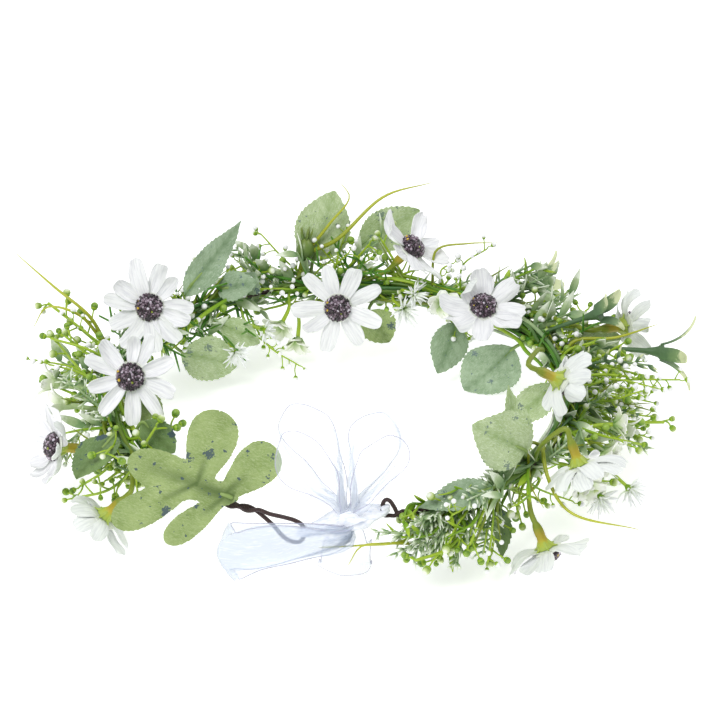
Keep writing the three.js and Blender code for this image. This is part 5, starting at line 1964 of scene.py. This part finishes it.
@dataclass
class RibbonLoop:
    """A loop or tail of the organza ribbon, in the plane of two directions, starting at the knot."""

    name: str
    points: list[tuple[float, float]]
    side: tuple[float, float, float]
    along: tuple[float, float, float]
    rise: tuple[float, float, float]
    width: float = 30.0
    closed: bool = True
    crush: float = 1.5
    roll: float = 0.0
    cloth: Finish = SHEER

    def grid(self, knot: Array, rng: np.random.Generator) -> Array:
        """The cloth's points, along by across: gathered at the knot and crushed into soft folds."""
        x = unit(self.along)
        y = unit(np.asarray(self.rise, float) - x * float(np.dot(self.rise, x)))
        z = np.cross(x, y)
        origin = knot + unit(self.side) * 7.3
        middle = [origin + a * x + b * y for a, b in self.points]
        ends = [knot + unit(self.side) * 3.0]
        line = smooth_path([*ends, *middle, *(ends if self.closed else [])], 60)
        rows, columns = len(line), 19
        s, v = np.linspace(0, 1, rows), np.linspace(-1, 1, columns)
        spread = np.sin(math.pi * s) if self.closed else np.sin(math.pi / 2 * s)
        half = self.width / 2 * (0.2 + 0.8 * np.clip(spread, 0, 1) ** 0.7)
        tangents = np.gradient(line, axis=0)
        tangents /= np.linalg.norm(tangents, axis=1, keepdims=True)
        normals = np.cross(tangents, z)
        ss, vv = s[:, None], v[None]
        folds = 0.0 * ss * vv
        for k in range(7):
            a, b, c = rng.uniform(3, 13), rng.uniform(-4, 4), rng.uniform(0, 6)
            folds = folds + np.abs(np.sin(a * ss + b * vv + c)) / (1 + 0.25 * k)
        folds = (folds - folds.mean()) * self.crush
        pleats = 1.9 * (1 - np.clip(spread, 0, 1))[:, None] * np.sin(5.2 * math.pi * vv + 3 * ss)
        bend = self.roll * vv
        across = np.where(abs(self.roll) > 0, np.sin(bend) / max(abs(self.roll), 1e-6) * np.sign(self.roll + 1e-9), vv)
        lift = (1 - np.cos(bend)) / max(abs(self.roll), 1e-6) if self.roll else 0 * vv
        grid = (line[:, None] + (across * half[:, None])[..., None] * z
                + (folds + pleats + lift * half[:, None])[..., None] * normals[:, None])
        return grid

    def build(self, knot: Array, rng: np.random.Generator) -> None:
        """Makes the cloth and its two rolled hems."""
        grid = self.grid(knot, rng)
        rows, columns = grid.shape[:2]
        flat = path_length(grid[:, columns // 2])
        cloth = MeshDraft()
        faces = [(i * columns + k, (i + 1) * columns + k, (i + 1) * columns + k + 1, i * columns + k + 1)
                 for i in range(rows - 1) for k in range(columns - 1)]
        run = np.linspace(0, flat, rows)[:, None]
        lay = np.stack(np.broadcast_arrays(run, np.linspace(-15, 15, columns)[None], 3.0), axis=-1)
        cloth.add(grid.reshape(-1, 3), faces, 0, 0.5, lay.reshape(-1, 3))
        piece = cloth.build("organza_" + self.name, [self.cloth], 180)
        hems = MeshDraft()
        for column in (0, columns - 1):
            hems.add_tube(smooth_path(grid[::3, column], 90), 0.2, 0, (0, 1), 6)
        if not self.closed:
            hems.add_tube(grid[-1], 0.12, 0, (0, 1), 6)
        hem = hems.build("organza_hem_" + self.name, [HEM])
        settle(piece, Half.RIGHT.value, ["ribbon_" + self.name])
        settle(hem, Half.RIGHT.value)


def loop_points(length: float, height: float) -> list[tuple[float, float]]:
    """A ribbon loop: out along one side and back along the other, open by the given height."""
    half = [(0.5, 0.06), (0.35 * length, 0.34), (0.75 * length, 0.5)]
    return [(a, b * height) for a, b in half] + [(length, 0.0)] + [(a, -b * height) for a, b in half[::-1]]


RIBBON_LOOPS = [
    RibbonLoop("loop_left", loop_points(43, 21), (-0.35, 0.3, 0.88), (-0.5, 0.18, 0.85), (0.85, 0, 0.5)),
    RibbonLoop("loop_right", loop_points(38, 19), (0.5, 0.2, 0.85), (0.34, 0.2, 0.9), (0.9, 0, -0.34)),
    RibbonLoop("loop_front", loop_points(56, 12), (0.15, -1, -0.6), (-0.97, -0.2, -0.03), (0.2, -0.95, 0),
               crush=0.9, roll=1.25, cloth=FOLDED),
    RibbonLoop("tail", [(0.5, 0), (5, 1.5), (9, -0.7), (13, 0.8), (18, 0)], (0.3, -0.1, -0.95),
               (-0.1, -0.25, -0.95), (0.2, -0.9, 0.2), closed=False, crush=0.8, roll=1.25),
]


@dataclass
class OrganzaBow:
    """The ribbon that ties the wire's two eyes: the turn round each eye, the knot, the loops and the tail."""

    left_end: Array
    right_end: Array
    knot_share: float = 0.55

    @property
    def knot(self) -> Array:
        """The middle of the knot."""
        return self.left_end + (self.right_end - self.left_end) * self.knot_share

    def strap(self, draft: MeshDraft, end: Array, rng: np.random.Generator, drop: float) -> None:
        """Adds the gathered ribbon from the knot round one eye and back."""
        way = unit(end - self.knot)
        wide = np.array([0, 0, 1.0])
        outer = unit(np.cross(way, wide))
        for side in (1, -1):
            points = [self.knot + wide * side * 2.0, self.knot + 0.5 * (end - self.knot) + outer * side * 1.6,
                      end + outer * side * 2.2 - way * 1.2, end + way * 2.3 + wide * side * 0.4]
            line = smooth_path(points, 30)
            for strand in range(4):
                shift = rng.uniform(-0.9, 0.9, 3) * np.array([0.4, 0.5, 1.3])
                wobble = 0.3 * np.sin(np.linspace(0, 9, 30) + strand * 2)[:, None] * wide
                draft.add_tube(line + shift + wobble, [2.3, 1.5, 1.25, 1.15, 1.0], 0, (0, 1), 9, strand)
        draft.add_tube(smooth_path([end + outer * 2 + wide * drop, end + way * 2.4 + wide * 0.5 * drop,
                                    end - outer * 2 + wide * drop * 0.2], 14), 1.1, 0, (0, 1), 9)

    def ruffle(self, knot: Array, rng: np.random.Generator) -> tuple[Array, float]:
        """The gathered cloth round the knot: one length of ribbon wound and crushed about the tie.

        Args:
            knot: Its middle.
            rng: The source of its folds.

        Returns:
            Its points along by across, and the ribbon's length in millimetres.
        """
        axis = unit(self.right_end - self.left_end)
        up = unit(np.array([0, 0, 1.0]) - axis * axis[2])
        out = np.cross(axis, up)
        rows, columns = 240, 21
        s, v = np.linspace(0, 1, rows)[:, None], np.linspace(-1, 1, columns)[None]
        turn = 2 * math.pi * 2.6 * s
        wave = 0.0 * s * v
        for k in range(6):
            a, b, c = rng.uniform(16, 46), rng.uniform(-5, 5), rng.uniform(0, 6)
            wave = wave + np.abs(np.sin(a * s + b * v + c)) / (1 + 0.3 * k)
        wave = (wave - wave.mean()) * 1.15
        radius = 3.6 + 2.6 * np.abs(np.sin(11 * s + 1)) * (1 - 0.35 * v ** 2) + wave
        radius = radius * (1 - 0.45 * np.abs(v) ** 2.2)
        along = (v * 14 + 2.0 * np.sin(7 * s) + 0.7 * wave)
        angle = turn + 0.25 * np.sin(5 * v + 9 * s)
        points = (knot + along[..., None] * axis + (radius * np.cos(angle))[..., None] * out
                  + (radius * np.sin(angle) * 0.85)[..., None] * up)
        return points, path_length(points[:, columns // 2])

    def build(self, rng: np.random.Generator) -> None:
        """Makes the bow."""
        left = MeshDraft()
        self.strap(left, self.left_end, rng, -2.0)
        strap = left.build("gathered_strap_left", [GATHERED])
        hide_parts("ribbon_link_left")
        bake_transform(strap)
        log.info("%s: blended between the halves", strap.name)

        tie = MeshDraft()
        self.strap(tie, self.right_end, rng, 2.0)
        tie.add_balls(np.array([self.knot]), np.array([4.2]), 0, 0.5, 24, 16)
        settle(tie.build("gathered_knot", [GATHERED]), Half.RIGHT.value, ["ribbon_knot"])

        grid, length = self.ruffle(self.knot, rng)
        rows, columns = grid.shape[:2]
        cloth = MeshDraft()
        faces = [(i * columns + k, (i + 1) * columns + k, (i + 1) * columns + k + 1, i * columns + k + 1)
                 for i in range(rows - 1) for k in range(columns - 1)]
        cloth.add(grid.reshape(-1, 3), faces, 0, 0.5)
        piece = settle(cloth.build("gathered_ruffle", [GATHERED], 180), Half.RIGHT.value)
        for loop in RIBBON_LOOPS:
            loop.build(self.knot, rng)


# ---------------------------------------------------------------- studio


@dataclass
class Studio:
    """A white paper floor, soft light from all round and one large lamp, and the camera."""

    aim: tuple[float, float, float] = (8.77, 7.68, 13.3)
    distance: float = 1500.0
    elevation: float = 30.0
    lens: float = 170.9

    def build(self, floor_z: float) -> None:
        """Makes floor, light and camera.

        Args:
            floor_z: The height that the crown rests at, in metres.
        """
        mesh = bpy.data.meshes.new("studio_floor")
        size = 6.0
        corners = [(-size, -size, floor_z), (size, -size, floor_z), (size, size, floor_z), (-size, size, floor_z)]
        mesh.from_pydata(corners, [], [(0, 1, 2, 3)])
        mesh.materials.append(StudioPaper().material())
        floor = bpy.data.objects.new("studio_floor", mesh)
        bpy.context.scene.collection.objects.link(floor)

        world = bpy.data.worlds.new("soft_white_room")
        bpy.context.scene.world = world
        world.use_nodes = True
        background = world.node_tree.nodes["Background"]
        background.inputs["Color"].default_value = (0.94, 0.97, 1.0, 1.0)
        background.inputs["Strength"].default_value = 0.46
        for name, place, energy, size in (("key", (-0.5, -0.7, 1.2), 12.5, 0.7), ("fill", (0.9, 0.4, 0.9), 5.0, 0.7)):
            lamp = bpy.data.lights.new(name + "_lamp", "AREA")
            lamp.energy, lamp.size = energy, size
            light = bpy.data.objects.new(name + "_lamp", lamp)
            light.location = place
            light.rotation_euler = (-Vector(place)).to_track_quat("-Z", "Y").to_euler()
            bpy.context.scene.collection.objects.link(light)

        data = bpy.data.cameras.new("camera")
        data.lens, data.sensor_width = self.lens, 36.0
        data.clip_end = 50.0
        camera = bpy.data.objects.new("camera", data)
        tilt = math.radians(self.elevation)
        way = Vector((0, -math.cos(tilt), math.sin(tilt)))
        camera.location = Vector(self.aim) * MM + way * self.distance * MM
        camera.rotation_euler = (-way).to_track_quat("-Z", "Y").to_euler()
        bpy.context.scene.collection.objects.link(camera)
        bpy.context.scene.camera = camera
        bpy.context.scene.view_settings.view_transform = "Standard"


def main() -> None:
    """Builds the crown from the wire outwards, then the studio."""
    logging.basicConfig(level=logging.INFO, format="%(message)s")
    ring = WireRing()
    ring.build()
    rng = np.random.default_rng(11)
    for name, angle in (("tape_left", 180), ("tape_back_right", 48), ("tape_front_right", -31)):
        TapeWrap(name, angle).build(rng)
    joints = {joint["name"]: joint for joint in frame["joints"]}
    for flower in DAISIES:
        flower.put_on_joint(joints["spin_" + flower.name])
    for number, flower in enumerate(DAISIES):
        flower.build(np.random.default_rng(100 + number))
    for number, spray in enumerate(LEAVES + EXTRA_LEAVES):
        spray.build(np.random.default_rng(200 + number))
    BIG_LEAF.build(rng)
    Foliage().build()
    OrganzaBow(ring.left.end, ring.right.end).build(np.random.default_rng(5))
    Studio().build(cad_box[0][2] - 0.0005)


if __name__ == "__main__":
    main()
